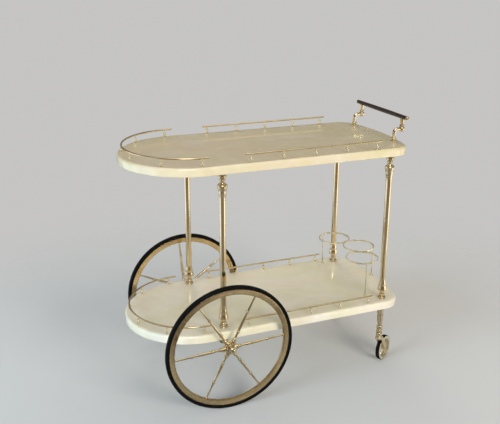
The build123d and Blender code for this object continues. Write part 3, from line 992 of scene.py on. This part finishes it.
@dataclass
class Uprights(Assembly):
    """The four brass uprights: a tube between a lower and an upper turned end."""

    posts: dict[str, tuple[float, float]] = field(default_factory=dict)
    floor: float = LOWER_SURFACE
    ceiling: float = TOP_SURFACE - BOARD_THICKNESS
    tube: float = 8.2
    bell: float = 13.0
    neck: float = 6.6
    collar: float = 11.0
    length: float = 62.0
    extra: float = 10.5
    seat: float = 6.0

    def turned_end(self, extra: float) -> Skin:
        """A turned end from its seat outwards: rings, beaded neck and bell.

        Near the board the recess reading is at least (d - h) / (0.75 d) at height h, with d the
        depth of painted
        shade: the brass darkens there as if in the board's shadow.

        Args:
            extra: height of a disc and cove before the first ring, or 0 for none.

        Returns:
            The end, standing on z = 0.
        """
        start = [Cut(self.collar, 0)]
        if extra:
            start = [
                Cut(11.4, 0),
                bead(11.4, 3.0, 0.4),
                Cut(8.6, 4.2),
                bead(8.2, extra - 1.8, -1.2),
                Cut(9.6, extra - 0.4),
                Cut(self.collar - 0.8, extra),
            ]
        end = turned(
            (0, 0),
            *start,
            bead(self.collar - 0.8, extra + 1.2, 0.1),
            bead(self.collar - 0.8, extra + 4.2, 0.9),
            Cut(self.neck + 1.4, extra + 5.4),
            bead(self.neck, extra + 8.6, -0.9),
            Cut(self.neck, extra + 9.6),
            bead(self.neck, extra + 13.2, 1.7),
            Cut(self.neck - 0.2, extra + 14.4),
            flow(self.neck + 0.6, extra + 18.6, -0.5),
            flow(self.bell - 1.0, extra + 23.4),
            bead(self.bell, extra + 26.4, 0.35),
            bead(self.bell - 0.5, extra + 29.0, 0.1),
            flow(self.tube + 2.2, extra + 41.0, -0.15),
            flow(self.tube + 0.1, extra + self.length - 0.4, -0.35),
            Cut(self.tube, extra + self.length),
            Cut(0, extra + self.length),
            segments=UPRIGHT_SEGMENTS,
        )
        # Painted shade: the recess reading rises towards the board, so the brass darkens there as
        # in the board's shadow.
        shaded_depth = 3.0 + 0.6 * extra
        corner = (shaded_depth - end.points[:, 2] / MM) / (0.75 * shaded_depth)
        end.recess = np.maximum(end.recess, np.clip(corner, 0, 1))
        return end

    def build(self) -> None:
        """Makes each tube and its two turned ends."""
        lower, upper = self.turned_end(0), self.turned_end(self.extra)
        low = self.floor + self.length
        high = self.ceiling - self.extra - self.length
        tube = turned(
            (0, low - self.seat),
            Cut(self.tube - 0.3, low - self.seat),
            Cut(self.tube, low),
            Cut(self.tube, high),
            Cut(self.tube - 0.3, high + self.seat),
            Cut(0, high + self.seat),
            segments=UPRIGHT_SEGMENTS,
        )
        brass = self.finishes.brass
        for name, (x, y) in self.posts.items():
            here = shifted(x, y)
            foot = lower.placed(here @ shifted(z=self.floor))
            head = upper.placed(here @ shifted(z=self.ceiling) @ turned_by(180, "X"))
            self.piece(f"{name}_upright", [tube.placed(here)], brass, [f"{name}_upright_tube"])
            self.piece(f"{name}_foot_turning", [foot], brass, ["bottom_ferrules"])
            self.piece(f"{name}_head_turning", [head], brass, ["top_ferrules"])


@dataclass
class SpokedWheel(Assembly):
    """A large wheel: rubber tyre, brass rim, six turned spokes and a hub."""

    side: Side = Side.LEFT
    centre: Spot = (WHEEL_X, WHEEL_Y, WHEEL_RADIUS)
    radius: float = WHEEL_RADIUS
    tyre_width: float = 13.0
    tyre_depth: float = 9.0
    rim_width: float = 9.0
    rim_depth: float = 14.0
    spokes: int = 6
    turn: float = 3.0
    hub: float = 13.0
    hub_length: float = HUB_LENGTH

    def spoke(self) -> Skin:
        """One turned spoke, from its root on the hub out to the rim.

        Each station gives its share of the way out, its radius, its swell and its form.

        Returns:
            The spoke, standing along +Z from the wheel's centre.
        """
        start, end = self.hub - 0.4, self.radius - self.tyre_depth - self.rim_depth + 0.6
        reach = end - start
        stations = (
            (0.0, 6.2, 0.0, Form.STRAIGHT),
            (0.06, 6.2, 0.35, Form.ROUND),
            (0.075, 4.9, -0.3, Form.ROUND),
            (0.1, 5.2, 0.5, Form.ROUND),
            (0.125, 3.2, 0.0, Form.FLOWING),
            (0.215, 2.9, -0.1, Form.FLOWING),
            (0.265, 3.0, 1.45, Form.ROUND),
            (0.29, 3.75, 0.0, Form.FLOWING),
            (0.40, 3.65, 0.15, Form.FLOWING),
            (0.635, 2.5, 0.1, Form.FLOWING),
            (0.685, 2.5, 1.6, Form.ROUND),
            (0.975, 2.3, 0.0, Form.STRAIGHT),
            (0.985, 3.0, 0.0, Form.STRAIGHT),
            (1.0, 3.0, 0.0, Form.STRAIGHT),
        )
        cuts = [Cut(size, start + share * reach, *bulge) for share, size, *bulge in stations]
        return turned((0, start), *cuts, Cut(0, end), segments=THIN_SEGMENTS, edge=0.25)

    def barrel(self) -> Skin:
        """The hub's barrel: two flanges with beads, and a waist that the spokes meet.

        Returns:
            The barrel along Z, with its middle at the origin.
        """
        half = self.hub_length / 2
        return turned(
            (0, -half),
            Cut(self.hub - 3.0, -half),
            bead(self.hub + 0.6, -half + 1.6, 0.2),
            bead(self.hub + 0.6, -half + 4.4, 0.5),
            Cut(self.hub - 0.9, -half + 5.6),
            Cut(self.hub - 0.9, half - 5.6),
            Cut(self.hub + 0.6, half - 4.4),
            bead(self.hub + 0.6, half - 1.6, 0.5),
            bead(self.hub - 3.0, half, 0.2),
            Cut(0, half),
            segments=ROUND_SEGMENTS,
        )

    def build(self) -> None:
        """Makes the wheel's four pieces about its axle."""
        x, y, z = self.centre
        lie = shifted(x, self.side.value * y, z) @ turned_by(90, "X") @ turned_by(self.turn, "Z")
        outer = self.radius - self.tyre_depth
        tread = ring_outline(outer - 0.2, self.radius, self.tyre_width / 2, 2.6)
        band = ring_outline(outer - self.rim_depth, outer, self.rim_width / 2, 1.1)
        tyre = lathe(tread, BIG_RING_SEGMENTS, closed=True)
        rim = lathe(band, BIG_RING_SEGMENTS, closed=True)
        stand = turned_by(90, "Y")
        turns = [turned_by(360 * n / self.spokes, "Z") for n in range(self.spokes)]
        spokes = set_at([self.spoke()], *(lie @ turn @ stand for turn in turns))
        word, look = self.side.word, self.finishes
        node = f"{word}_wheel_"
        self.piece(f"{word}_big_tyre", [tyre.placed(lie)], look.rubber, [node + "tyre"])
        self.piece(f"{word}_big_rim", [rim.placed(lie)], look.shaded_rim_brass, [node + "rim"])
        self.piece(f"{word}_turned_spokes", spokes, look.shaded_thin_brass, [node + "spokes"])
        self.piece(f"{word}_big_hub", [self.barrel().placed(lie)], look.brass, [node + "hub"])


@dataclass
class Axle(Assembly):
    """The fixed axle, its bosses under the tray, and its collars and cap nuts."""

    x: float = WHEEL_X
    z: float = WHEEL_RADIUS
    radius: float = 5.0
    wheel_y: float = WHEEL_Y
    hub_length: float = HUB_LENGTH
    collar: float = 9.0
    collar_length: float = 4.5
    play: float = 0.3
    nut_reach: float = 5.8
    post_y: float = POST_Y
    tray_under: float = LOWER_SURFACE - BOARD_THICKNESS

    def build(self) -> None:
        """Makes the axle lying along Y and the pieces on it."""
        lie = shifted(self.x, 0, self.z) @ turned_by(-90, "X")
        brass = self.finishes.brass
        out = self.wheel_y + self.hub_length / 2 + self.play
        end = out + self.nut_reach
        bar = turned(
            (0, -end),
            Cut(self.radius, -end),
            Cut(self.radius, end),
            Cut(0, end),
            segments=THIN_SEGMENTS,
        )
        self.piece("wheel_axle", [bar.placed(lie)], brass, ["axle"])
        cap = turned(
            (5.05, out),
            Cut(9.0, out),
            bead(9.0, out + 1.4, 0.3),
            Cut(7.8, out + 2.0),
            bead(7.6, out + 3.4, -0.3),
            Cut(8.4, out + 4.2),
            Cut(0.0, out + 10.0, 3.1, Form.STRAIGHT),
            segments=STOUT_SEGMENTS,
        )
        half = self.collar_length / 2
        middle = self.wheel_y - self.hub_length / 2 - self.play - half
        section = ring_outline(self.radius + 0.05, self.collar, half, 0.7) + [0, middle]
        ring = lathe(section, STOUT_SEGMENTS, closed=True)
        both = (lie, lie @ turned_by(180, "X"))
        self.piece("domed_cap_nuts", set_at([cap], *both), brass, ["axle_cap_nuts"])
        self.piece("axle_spacers", set_at([ring], *both), brass, ["axle_collars"])
        boss = turned(
            (0, self.z - 10),
            Cut(6.0, self.z - 10),
            bead(11.4, self.z - 6.5, 0.9),
            Cut(12.0, self.z - 4.5),
            Cut(12.0, self.z + 5.5),
            bead(10.6, self.z + 7.0, -0.4),
            Cut(12.0, self.tray_under - 3.0),
            Cut(12.0, self.tray_under),
            Cut(0, self.tray_under),
            segments=STOUT_SEGMENTS,
        )
        spots = [shifted(self.x, side.value * self.post_y) for side in Side]
        self.piece("axle_hangers", set_at([boss], *spots), brass, ["axle_bosses"])


@dataclass
class Caster(Assembly):
    """A swivel caster: fork, pin, openwork brass wheel and rubber tyre."""

    side: Side = Side.LEFT
    x: float = CASTER_X
    y: float = POST_Y
    radius: float = 36.5
    trail: float = 30.0
    turn: float = 32.0
    tyre_width: float = 11.0
    tyre_depth: float = 3.5
    rim_depth: float = 6.0
    spokes: int = 5
    arm: float = 3.0
    arm_foot: float = 6.0
    arm_head: float = 5.2
    arm_lean: float = 2.0
    arm_edge: float = 0.7
    gap: float = 1.5
    crown_height: float = 11.5
    headroom: float = 3.0
    stem: float = 4.0
    stem_length: float = 26.0

    def arm_skin(self, side: Side) -> Skin:
        """One fork arm: a flat plate round two circles, its edges rounded.

        Its outline is the belt round a large circle at the pin and a small one at the
        crown: each direction takes the circle that reaches further that way.

        Args:
            side: which side of the wheel it stands on.

        Returns:
            The arm, in the fork's own frame.
        """
        foot, head, edge, half = self.arm_foot, self.arm_head, self.arm_edge, self.arm / 2
        low = np.array([self.trail, self.radius])
        high = np.array([self.arm_lean, 2 * self.radius + self.headroom + head])
        a = np.linspace(0, 2 * np.pi, 72, endpoint=False)
        out = np.stack([np.cos(a), np.sin(a)], axis=1)
        further = ((out @ (high - low)) > foot - head)[:, None]
        outline = np.where(further, high + head * out, low + foot * out)
        spine = np.where(further, high, low)
        b = np.linspace(0, np.pi / 2, 5)
        upper = np.stack([edge * (1 - np.sin(b)), half - edge * (1 - np.cos(b))], axis=1)
        profile = np.concatenate([upper, upper[::-1] * [1, -1]])
        plate = slab(outline, -out, spine, profile, rings=4)
        y = side.value * (self.tyre_width / 2 + self.gap + half)
        return plate.placed(shifted(0, y, 0) @ turned_by(90, "X"))

    def fork(self) -> list[Skin]:
        """The crown with its swivel pin, and both arms.

        Returns:
            The skins, in the fork's own frame with the swivel pin along Z.
        """
        low = 2 * self.radius + self.headroom
        top = low + self.crown_height
        crown = turned(
            (0, low),
            Cut(8.6, low),
            bead(10.2, low + 1.6, 0.3),
            Cut(10.2, low + 6.5),
            bead(8.8, low + 8.0, -0.4),
            Cut(8.6, top - 1.6),
            Cut(7.2, top),
            Cut(self.stem, top),
            Cut(self.stem, top + self.stem_length),
            Cut(0, top + self.stem_length),
            segments=STOUT_SEGMENTS,
        )
        return [crown, self.arm_skin(Side.LEFT), self.arm_skin(Side.RIGHT)]

    def wheel(self) -> list[Skin]:
        """The cast wheel: rim with a lip on each side, long hub and waisted spokes.

        Returns:
            The skins, with the wheel's pin along Z.
        """
        outer = self.radius - self.tyre_depth
        band = ring_outline(outer - self.rim_depth, outer, 4.5, 1.0)
        flange = ring_outline(outer - self.rim_depth - 0.4, outer + 1.7, 0.9, 0.5)
        rim = lathe(band, ROUND_SEGMENTS, closed=True)
        lip = lathe(flange, ROUND_SEGMENTS, closed=True)
        lips = [shifted(z=side.value * (self.tyre_width / 2 - 0.5)) for side in Side]
        half = self.tyre_width / 2 + self.gap - 0.3
        hub = lathe(ring_outline(2.56, 6.5, half, 0.9), FINE_SEGMENTS, closed=True)
        reach = np.linspace(5.5, outer - 3.0, 16)
        waist = 2.6 - 0.7 * np.sin(np.pi * np.linspace(0, 1, 16))
        path = np.stack([reach, 0 * reach, 0 * reach], axis=1)
        spoke = carried(path, waist, UP, sides=16)
        turns = [turned_by(90 + 360 * n / self.spokes, "Z") for n in range(self.spokes)]
        return [rim, *set_at([lip], *lips), hub, *set_at([spoke], *turns)]

    def pin(self) -> Skin:
        """The pin that the wheel rolls on, with a domed head at each end.

        Returns:
            The pin along Z, with its middle at the origin.
        """
        face = self.tyre_width / 2 + self.gap + self.arm
        return turned(
            (0, -face - 1.7),
            bead(2.6, -face - 1.4, 0.25),
            Cut(4.0, -face),
            Cut(2.5, -face),
            Cut(2.5, face),
            Cut(4.0, face),
            Cut(2.6, face + 1.4),
            Cut(0, face + 1.7, 0.1),
            segments=THIN_SEGMENTS,
            edge=0.2,
        )

    def build(self) -> None:
        """Makes the fork and pin on the swivel, and the wheel and tyre on the roller."""
        swivel = shifted(self.x, self.side.value * self.y) @ turned_by(self.turn, "Z")
        lie = swivel @ shifted(self.trail, 0, self.radius) @ turned_by(90, "X")
        tread = ring_outline(self.radius - self.tyre_depth, self.radius, self.tyre_width / 2, 1.4)
        tyre = lathe(tread, ROUND_SEGMENTS, closed=True)
        word, look = self.side.word, self.finishes
        node, turning, rolling = (f"{word}_caster{end}" for end in ("", "_swivel", "_roller"))
        fork, wheel = set_at(self.fork(), swivel), set_at(self.wheel(), lie)
        pin, tyre = set_at([self.pin()], lie), set_at([tyre], lie)
        self.piece(f"{word}_swivel_fork", fork, look.brass, [f"{node}_fork"], turning)
        self.piece(f"{word}_roller_pin", pin, look.brass, [f"{node}_pin"], turning)
        self.piece(f"{word}_roller", wheel, look.lit_pale_brass, [f"{node}_wheel"], rolling)
        self.piece(f"{word}_roller_tyre", tyre, look.rubber, [f"{node}_tyre"], rolling)


@dataclass
class CasterLegs(Assembly):
    """The two turned legs between the lower tray and the casters."""

    x: float = CASTER_X
    y: float = POST_Y
    foot: float = 87.8
    top: float = LOWER_SURFACE - BOARD_THICKNESS

    def build(self) -> None:
        """Makes both legs as one piece, each turned from the same outline."""
        foot, top = self.foot, self.top
        leg = turned(
            (4.06, foot),
            Cut(7.8, foot),
            Cut(7.6, foot + 1.2),
            bead(7.0, foot + 10.4, 2.1),
            bead(6.8, foot + 12.0, -0.3),
            bead(6.9, foot + 21.6, 2.2),
            bead(6.7, foot + 23.4, -0.3),
            bead(6.7, foot + 32.6, 2.0),
            bead(6.2, foot + 34.4, -0.2),
            bead(6.4, foot + 39.0, -0.3),
            flow(8.3, foot + 53.0, 0.2),
            flow(8.7, foot + 66.0, 0.15),
            Cut(7.4, foot + 67.2),
            bead(7.4, foot + 69.8, -0.3),
            Cut(8.8, foot + 71.0),
            Cut(9.1, top - 9.6),
            bead(8.6, top - 8.2, -0.3),
            Cut(10.5, top - 6.4),
            bead(10.5, top - 1.2, 0.5),
            Cut(9.8, top),
            Cut(0, top),
            segments=UPRIGHT_SEGMENTS,
        )
        legs = set_at([leg], *(shifted(self.x, side.value * self.y) for side in Side))
        self.piece("turned_caster_legs", legs, self.finishes.brass, ["caster_legs"])


@dataclass
class PushHandle(Assembly):
    """The dark wooden bar on two turned and bent brackets."""

    foot_x: float = 348.0
    half_span: float = 108.0
    surface: float = TOP_SURFACE
    reach: float = 23.5
    knuckle_z: float = 34.0
    bend: float = 10.0
    bar_z: float = 66.5
    bar: float = 6.0
    bar_half: float = 130.0
    ball: float = 8.2

    def bracket(self) -> list[Skin]:
        """The stack of rings on the tray, and the arm that bends out to the ball.

        Returns:
            Both skins, standing on z = 0.
        """
        base = turned(
            (0, 0),
            Cut(7.4, 0),
            bead(7.4, 3.6, 0.5),
            Cut(5.8, 4.6),
            bead(5.4, 6.8, -0.4),
            Cut(6.3, 7.4),
            bead(6.3, 10.6, 0.8),
            Cut(5.0, 11.6),
            bead(5.0, 13.6, 0.7),
            Cut(4.2, 14.6),
            Cut(0, 14.6),
            segments=44,
        )
        rise = self.knuckle_z - self.bend
        a = np.linspace(0, np.pi / 2, 14)[1:-1]
        z = np.linspace(13, rise, 8)
        lift = np.stack([0 * z, z], axis=1)
        curve = np.stack([self.bend * (1 - np.cos(a)), rise + self.bend * np.sin(a)], axis=1)
        x = np.linspace(self.bend, self.reach - 5.4, 8)
        path = np.concatenate([lift, curve, np.stack([x, 0 * x + self.knuckle_z], axis=1)])
        thick = 4.1 + 0.7 * np.sin(np.pi * np.linspace(0, 1, len(path)))
        solid = np.stack([path[:, 0], 0 * path[:, 0], path[:, 1]], axis=1)
        arm = carried(solid, thick, np.array([0.0, 1.0, 0.0]), sides=28)
        return [base, arm]

    def knuckle(self) -> Skin:
        """The ball and the turned neck that carries the bar.

        Returns:
            The knuckle, with the ball's middle at the origin.
        """
        ball, top = self.ball, self.bar_z - self.knuckle_z
        a = np.linspace(-np.pi / 2, math.acos(4.6 / ball), 20)
        sphere = np.stack([ball * np.cos(a), ball * np.sin(a)], axis=1)
        low = sphere[-1, 1]
        cuts = [
            Cut(6.6, low + 0.8),
            bead(6.6, low + 3.4, 0.5),
            Cut(4.9, low + 4.6),
            bead(4.6, low + 8.0, -0.6),
            flow(5.6, top - 8.4),
            bead(5.6, top - 4.6, 0.5),
            Cut(4.4, top - 3.0),
            Cut(0, top - 3.0),
        ]
        neck = turned_outline((4.6, low), cuts)
        return lathe(softened(np.concatenate([sphere, neck[1:]])), STOUT_SEGMENTS)

    def build(self) -> None:
        """Makes the brackets, the balls, the bar and its end caps."""
        brass = self.finishes.brass
        feet = [shifted(self.foot_x, side.value * self.half_span, self.surface) for side in Side]
        up = shifted(self.reach, 0, self.knuckle_z)
        brackets = set_at(self.bracket(), *feet)
        balls = set_at([self.knuckle()], *(foot @ up for foot in feet))
        self.piece("bent_brackets", brackets, brass, ["handle_brackets"])
        self.piece("handle_balls", balls, brass, ["handle_knuckles"])
        place = shifted(self.foot_x + self.reach, 0, self.surface + self.bar_z)
        lie = place @ turned_by(-90, "X")
        end = self.bar_half
        bar = turned(
            (0, -end),
            Cut(self.bar - 0.7, -end),
            Cut(self.bar - 0.7, end, 0.7),
            Cut(0, end),
            edge=0.8,
        )
        self.piece("wooden_bar", [bar.placed(lie)], self.finishes.wood, ["handle_bar"])
        cap = turned(
            (0, end),
            Cut(self.bar - 0.5, end),
            bead(self.bar - 0.5, end + 1.8, 0.3),
            Cut(2.6, end + 2.4),
            Cut(2.4, end + 2.9),
            Cut(0.0, end + 7.0, 2.6),
            segments=36,
            edge=0.25,
        )
        caps = set_at([cap], lie, lie @ turned_by(180, "X"))
        self.piece("bar_end_caps", caps, brass, ["handle_end_caps"])


@dataclass
class BottleHolder(Assembly):
    """Three touching rings on three thin legs, standing on the lower tray."""

    surface: float = LOWER_SURFACE
    ring: float = 46.4
    band: float = 2.0
    band_height: float = 5.0
    height: float = 100.5
    pitch: float = 85.0
    middle: tuple[float, float] = (326.0, 10.0)
    leg_turns: tuple[float, ...] = (-103.0, -10.5, 110.0)

    def build(self) -> None:
        """Makes each ring and its leg, in a row bowed towards the handle end."""
        brass = self.finishes.lit_pale_brass
        x, y = self.middle
        bow = math.sqrt((2 * self.ring) ** 2 - self.pitch**2)
        centres = [(x - bow, y - self.pitch), (x, y), (x - bow, y + self.pitch)]
        half = self.band_height / 2
        section = ring_outline(self.ring - self.band, self.ring, half, 0.8)
        band = lathe(section, HOOP_SEGMENTS, closed=True)
        low = self.height - self.band_height
        leg = turned(
            (0, 0),
            Cut(4.4, 0),
            bead(4.4, 1.2, 0.2),
            Cut(2.6, 2.2),
            bead(2.3, 5.0, 0.6),
            Cut(1.9, 6.0),
            Cut(1.9, low - 4.0),
            bead(2.4, low - 2.0, 0.4),
            Cut(1.9, low),
            Cut(0, low),
            segments=28,
            edge=0.2,
        )
        legs = []
        lift = self.surface + self.height - half
        for word, (cx, cy), turn in zip(("left", "middle", "right"), centres, self.leg_turns):
            hoop = band.placed(shifted(cx, cy, lift))
            self.piece(f"{word}_bottle_hoop", [hoop], brass, [f"bottle_ring_{word}"])
            spot = shifted(cx, cy, self.surface) @ turned_by(turn, "Z")
            legs.append(leg.placed(spot @ shifted(self.ring - self.band / 2)))
        self.piece("bottle_hoop_legs", legs, brass, ["bottle_holder_legs"])


@dataclass(frozen=True)
class Opening:
    """A bright patch of the room, such as a window, that polished metal mirrors.

    It is lit within spread degrees of its azimuth and between the elevations low and
    high, also in degrees.
    """

    azimuth: float
    spread: float
    low: float
    high: float
    colour: Colour


@dataclass(frozen=True)
class Lamp:
    """A soft rectangular lamp in metres and watts, which no surface mirrors."""

    name: str
    place: Spot
    aim: Spot
    size: tuple[float, float]
    power: float
    colour: Colour

    def hang(self) -> None:
        """Hangs the lamp, facing the point that it is aimed at."""
        data = bpy.data.lights.new(self.name, "AREA")
        data.shape = "RECTANGLE"
        data.size, data.size_y = self.size
        data.energy = self.power
        data.color = self.colour
        made = in_scene(self.name, data)
        facing = (Vector(self.aim) - Vector(self.place)).to_track_quat("-Z", "Y")
        made.matrix_world = Matrix.Translation(self.place) @ facing.to_matrix().to_4x4()
        made.visible_glossy = False
        made.visible_camera = False


OPENINGS = (
    Opening(-92.0, 19.0, -60.0, 3.0, (0.72, 0.78, 0.86)),
    Opening(-56.0, 20.0, -60.0, 3.0, (1.30, 1.38, 1.52)),
    Opening(132.0, 14.0, -60.0, 3.0, (1.75, 1.66, 1.50)),
    Opening(97.0, 11.0, -60.0, 3.0, (1.5, 1.46, 1.38)),
    Opening(60.0, 5.0, -60.0, 3.0, (0.75, 0.73, 0.70)),
    Opening(152.0, 12.0, 38.0, 54.0, (1.6, 1.6, 1.55)),
    Opening(197.0, 13.0, 30.0, 50.0, (6.5, 6.5, 6.4)),
    Opening(-25.0, 12.0, 42.0, 60.0, (0.75, 0.78, 0.82)),
)
LAMPS = (
    Lamp("front_softbox", (0.9, -3.0, 1.15), (0.0, 0.0, 0.35), (1.4, 1.2), 68.0, (1.0, 0.965, 0.9)),
    Lamp("window", (-2.9, -0.9, 0.85), (-0.1, 0.0, 0.4), (1.6, 1.7), 82.0, (0.62, 0.83, 1.0)),
    Lamp("overhead", (0.3, 0.6, 2.9), (0.0, 0.0, 0.3), (2.2, 2.2), 18.0, (1.0, 0.95, 0.86)),
    Lamp("back_softbox", (0.3, 3.2, 1.5), (0.0, 0.0, 0.35), (1.8, 1.4), 36.0, (1.0, 0.97, 0.93)),
)


@dataclass
class Studio:
    """The pale floor, the soft lamps, the pale surroundings and the camera."""

    focal_px: float = 753.301
    azimuth: float = 22.936
    tilt: float = 18.266
    roll: float = 0.511
    eye: Spot = (-757.9, -1809.9, 1128.0)
    centre_px: tuple[float, float] = (262.213, 203.867)
    photo_height: int = 424
    clip_end: float = 60.0
    floor_reach: float = 2.2
    floor_solid: float = 0.7
    floor_gone: float = 1.6
    floor_dark: Colour = (0.55, 0.545, 0.535)
    floor_light: Colour = (0.585, 0.58, 0.57)
    backdrop: Colour = (0.56, 0.555, 0.545)
    dim: Colour = (0.07, 0.058, 0.044)
    half_lit: Colour = (0.33, 0.285, 0.225)
    skirting: Colour = (0.36, 0.335, 0.295)
    far_wall: Colour = (0.17, 0.16, 0.145)
    ceiling: Colour = (0.27, 0.26, 0.24)
    skylight: Colour = (1.35, 1.32, 1.25)
    mirrored_floor_shade: Colour = (0.11, 0.092, 0.066)
    fill: float = 0.38
    fill_colour: Colour = (1.0, 0.985, 0.96)

    def camera(self) -> None:
        """Sets the camera at the photograph's place.

        The view direction is (sin az cos t, cos az cos t, -sin t), the camera's right is
        level and square to it, and both right and up are then rolled. The principal
        point's distance from the picture's middle becomes the lens shift.
        """
        az, tilt, roll = (math.radians(v) for v in (self.azimuth, self.tilt, self.roll))
        level = np.array([math.sin(az), math.cos(az), 0.0])
        ahead = math.cos(tilt) * level - math.sin(tilt) * UP
        right = np.array([math.cos(az), -math.sin(az), 0.0])
        up = np.cross(right, ahead)
        c, s = math.cos(roll), math.sin(roll)
        place = np.eye(4)
        place[:3, 0], place[:3, 1] = c * right + s * up, c * up - s * right
        place[:3, 2], place[:3, 3] = -ahead, np.array(self.eye) * MM
        data = bpy.data.cameras.new("photo_camera")
        data.sensor_width = SENSOR_MM
        data.lens = self.focal_px / PHOTO_WIDTH * SENSOR_MM
        data.shift_x = (PHOTO_WIDTH / 2 - self.centre_px[0]) / PHOTO_WIDTH
        data.shift_y = (self.centre_px[1] - self.photo_height / 2) / PHOTO_WIDTH
        data.clip_end = self.clip_end
        made = in_scene("photo_camera", data)
        made.matrix_world = Matrix(place.tolist())
        bpy.context.scene.camera = made

    def floor(self) -> None:
        """Lays a pale floor that takes the shadows and fades into the backdrop.

        It is solid up to one distance from the middle and gone at another, by a smooth
        step of the distance. In polished metal it shows a painted reflection: darker
        patches of painted shade, and a painted sunlit strip towards the handle end.
        """
        mesh = bpy.data.meshes.new("studio_floor")
        reach = self.floor_reach
        corners = [(-reach, -reach, 0), (reach, -reach, 0), (reach, reach, 0), (-reach, reach, 0)]
        mesh.from_pydata(corners, [], [(0, 1, 2, 3)])
        w = Wiring(bpy.data.materials.new("pale_floor"))
        here = w.place()
        plain = w.mix(w.noise(here, 3, 5), self.floor_dark, self.floor_light)
        # Painted reflection: glossy rays see dark patches of painted shade on the floor, and a
        # painted sunlit strip from x = 0.22 m on.
        mirror = w.node("LightPath").outputs["Is Glossy Ray"]
        painted_sun_strip = w.spread(w.node("SeparateXYZ", Vector=here).outputs["X"], 0.22, 0.34)
        patches = w.maths("MAXIMUM", w.spread(w.noise(here, 2.4, 1), 0.36, 0.60), painted_sun_strip)
        mirrored_shade_and_sun = w.mix(patches, self.mirrored_floor_shade, plain)
        tone = w.mix(mirror, plain, mirrored_shade_and_sun)
        relief = w.bump(w.noise(here, 300, 2), 0.05, 0.0003)
        solid = w.node("BsdfDiffuse", Color=tone, Roughness=0.6, Normal=relief)
        fade = w.node(
            "MapRange",
            {"interpolation_type": "SMOOTHSTEP"},
            Value=w.vectors("LENGTH", here),
            From_Min=self.floor_solid,
            From_Max=self.floor_gone,
        )
        clear = w.node("BsdfTransparent")
        both = w.blend(fade.outputs[0], solid.outputs[0], clear.outputs[0])
        w.node("OutputMaterial", Surface=both)
        mesh.materials.append(w.owner)
        made = in_scene("studio_floor", mesh)

    def surroundings(self) -> None:
        """Makes the world: even soft light, the pale backdrop, and the room that metal sees.

        In a mirror the room is pale behind the cart and dim towards the camera, patchy
        as furnished rooms are. Each opening in it is lit, with soft edges.
        """
        world = bpy.data.worlds.new("studio_world")
        bpy.context.scene.world = world
        w = Wiring(world)
        here = w.node("TexCoord").outputs["Generated"]
        towards = w.node("SeparateXYZ", Vector=here)
        height = towards.outputs["Z"]
        behind = w.spread(towards.outputs["Y"], -0.25, 0.45)
        patches = w.spread(w.noise(here, 2.6, 1), 0.36, 0.62)
        wall = w.mix(w.spread(height, 0.0, 0.2), self.skirting, self.far_wall)
        room = w.mix(behind, w.mix(patches, self.dim, self.half_lit), wall)
        room = w.mix(w.spread(height, 0.35, 0.9), room, self.ceiling)
        room = w.mix(w.spread(height, 0.80, 0.94), room, self.skylight)
        level = w.vectors("NORMALIZE", w.vectors("MULTIPLY", here, (1.0, 1.0, 0.0)))
        for patch in OPENINGS:
            a = math.radians(patch.azimuth)
            facing = w.vectors("DOT_PRODUCT", level, (math.sin(a), math.cos(a), 0.0))
            edge = math.cos(math.radians(patch.spread))
            sill, head = (math.sin(math.radians(v)) for v in (patch.low, patch.high))
            lit = w.spread(facing, edge - 0.02, edge + 0.01)
            lit = w.maths("MULTIPLY", lit, w.spread(height, sill - 0.03, sill + 0.03))
            lit = w.maths("MULTIPLY", lit, w.spread(height, head + 0.03, head - 0.03))
            room = w.mix(lit, room, patch.colour)
        path = w.node("LightPath").outputs
        mirror = w.maths("MAXIMUM", path["Is Glossy Ray"], path["Is Transmission Ray"])
        seen = w.node("Background", Color=w.mix(mirror, self.backdrop, room), Strength=1.0)
        soft = w.node("Background", Color=self.fill_colour, Strength=self.fill)
        shown = w.maths("MAXIMUM", path["Is Camera Ray"], mirror)
        both = w.blend(shown, soft.outputs[0], seen.outputs[0])
        w.node("OutputWorld", Surface=both)

    def build(self) -> None:
        """Sets up everything round the cart."""
        self.camera()
        self.floor()
        self.surroundings()
        for lamp in LAMPS:
            lamp.hang()


UPRIGHT_SPOTS = {
    "wheel_end_left": (WHEEL_X, -POST_Y),
    "wheel_end_right": (WHEEL_X, POST_Y),
    "handle_end_left": (CASTER_X, -POST_Y),
    "handle_end_right": (CASTER_X, POST_Y),
}
SPOKE_TURNS = {Side.LEFT: 3.0, Side.RIGHT: 35.0}
TRAY_SURFACES = {"top": TOP_SURFACE, "lower": LOWER_SURFACE}


def dress_tie_rods(finishes: Finishes) -> None:
    """Gives the CAD node that stays its finish: the tie rods inside the uprights.

    Args:
        finishes: the cart's finishes.
    """
    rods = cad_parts["tie_rods"]
    rods.data.materials.clear()
    rods.data.materials.append(finishes.brass)


def main() -> None:
    """Builds the cart's sub-assemblies in order, then the studio."""
    logging.basicConfig(level=logging.INFO, format="%(name)s: %(message)s")
    finishes = Finishes()
    for name, surface in TRAY_SURFACES.items():
        Tray(finishes, name=name, under=surface - BOARD_THICKNESS).build()
        Gallery(finishes, name=name, surface=surface).build()
    Uprights(finishes, posts=UPRIGHT_SPOTS).build()
    Axle(finishes).build()
    CasterLegs(finishes).build()
    for side in Side:
        SpokedWheel(finishes, f"{side.word}_wheel", side=side, turn=SPOKE_TURNS[side]).build()
        Caster(finishes, side=side).build()
    PushHandle(finishes).build()
    BottleHolder(finishes).build()
    dress_tie_rods(finishes)
    bpy.context.scene.view_settings.view_transform = "Standard"
    Studio().build()


if __name__ == "__main__":
    main()
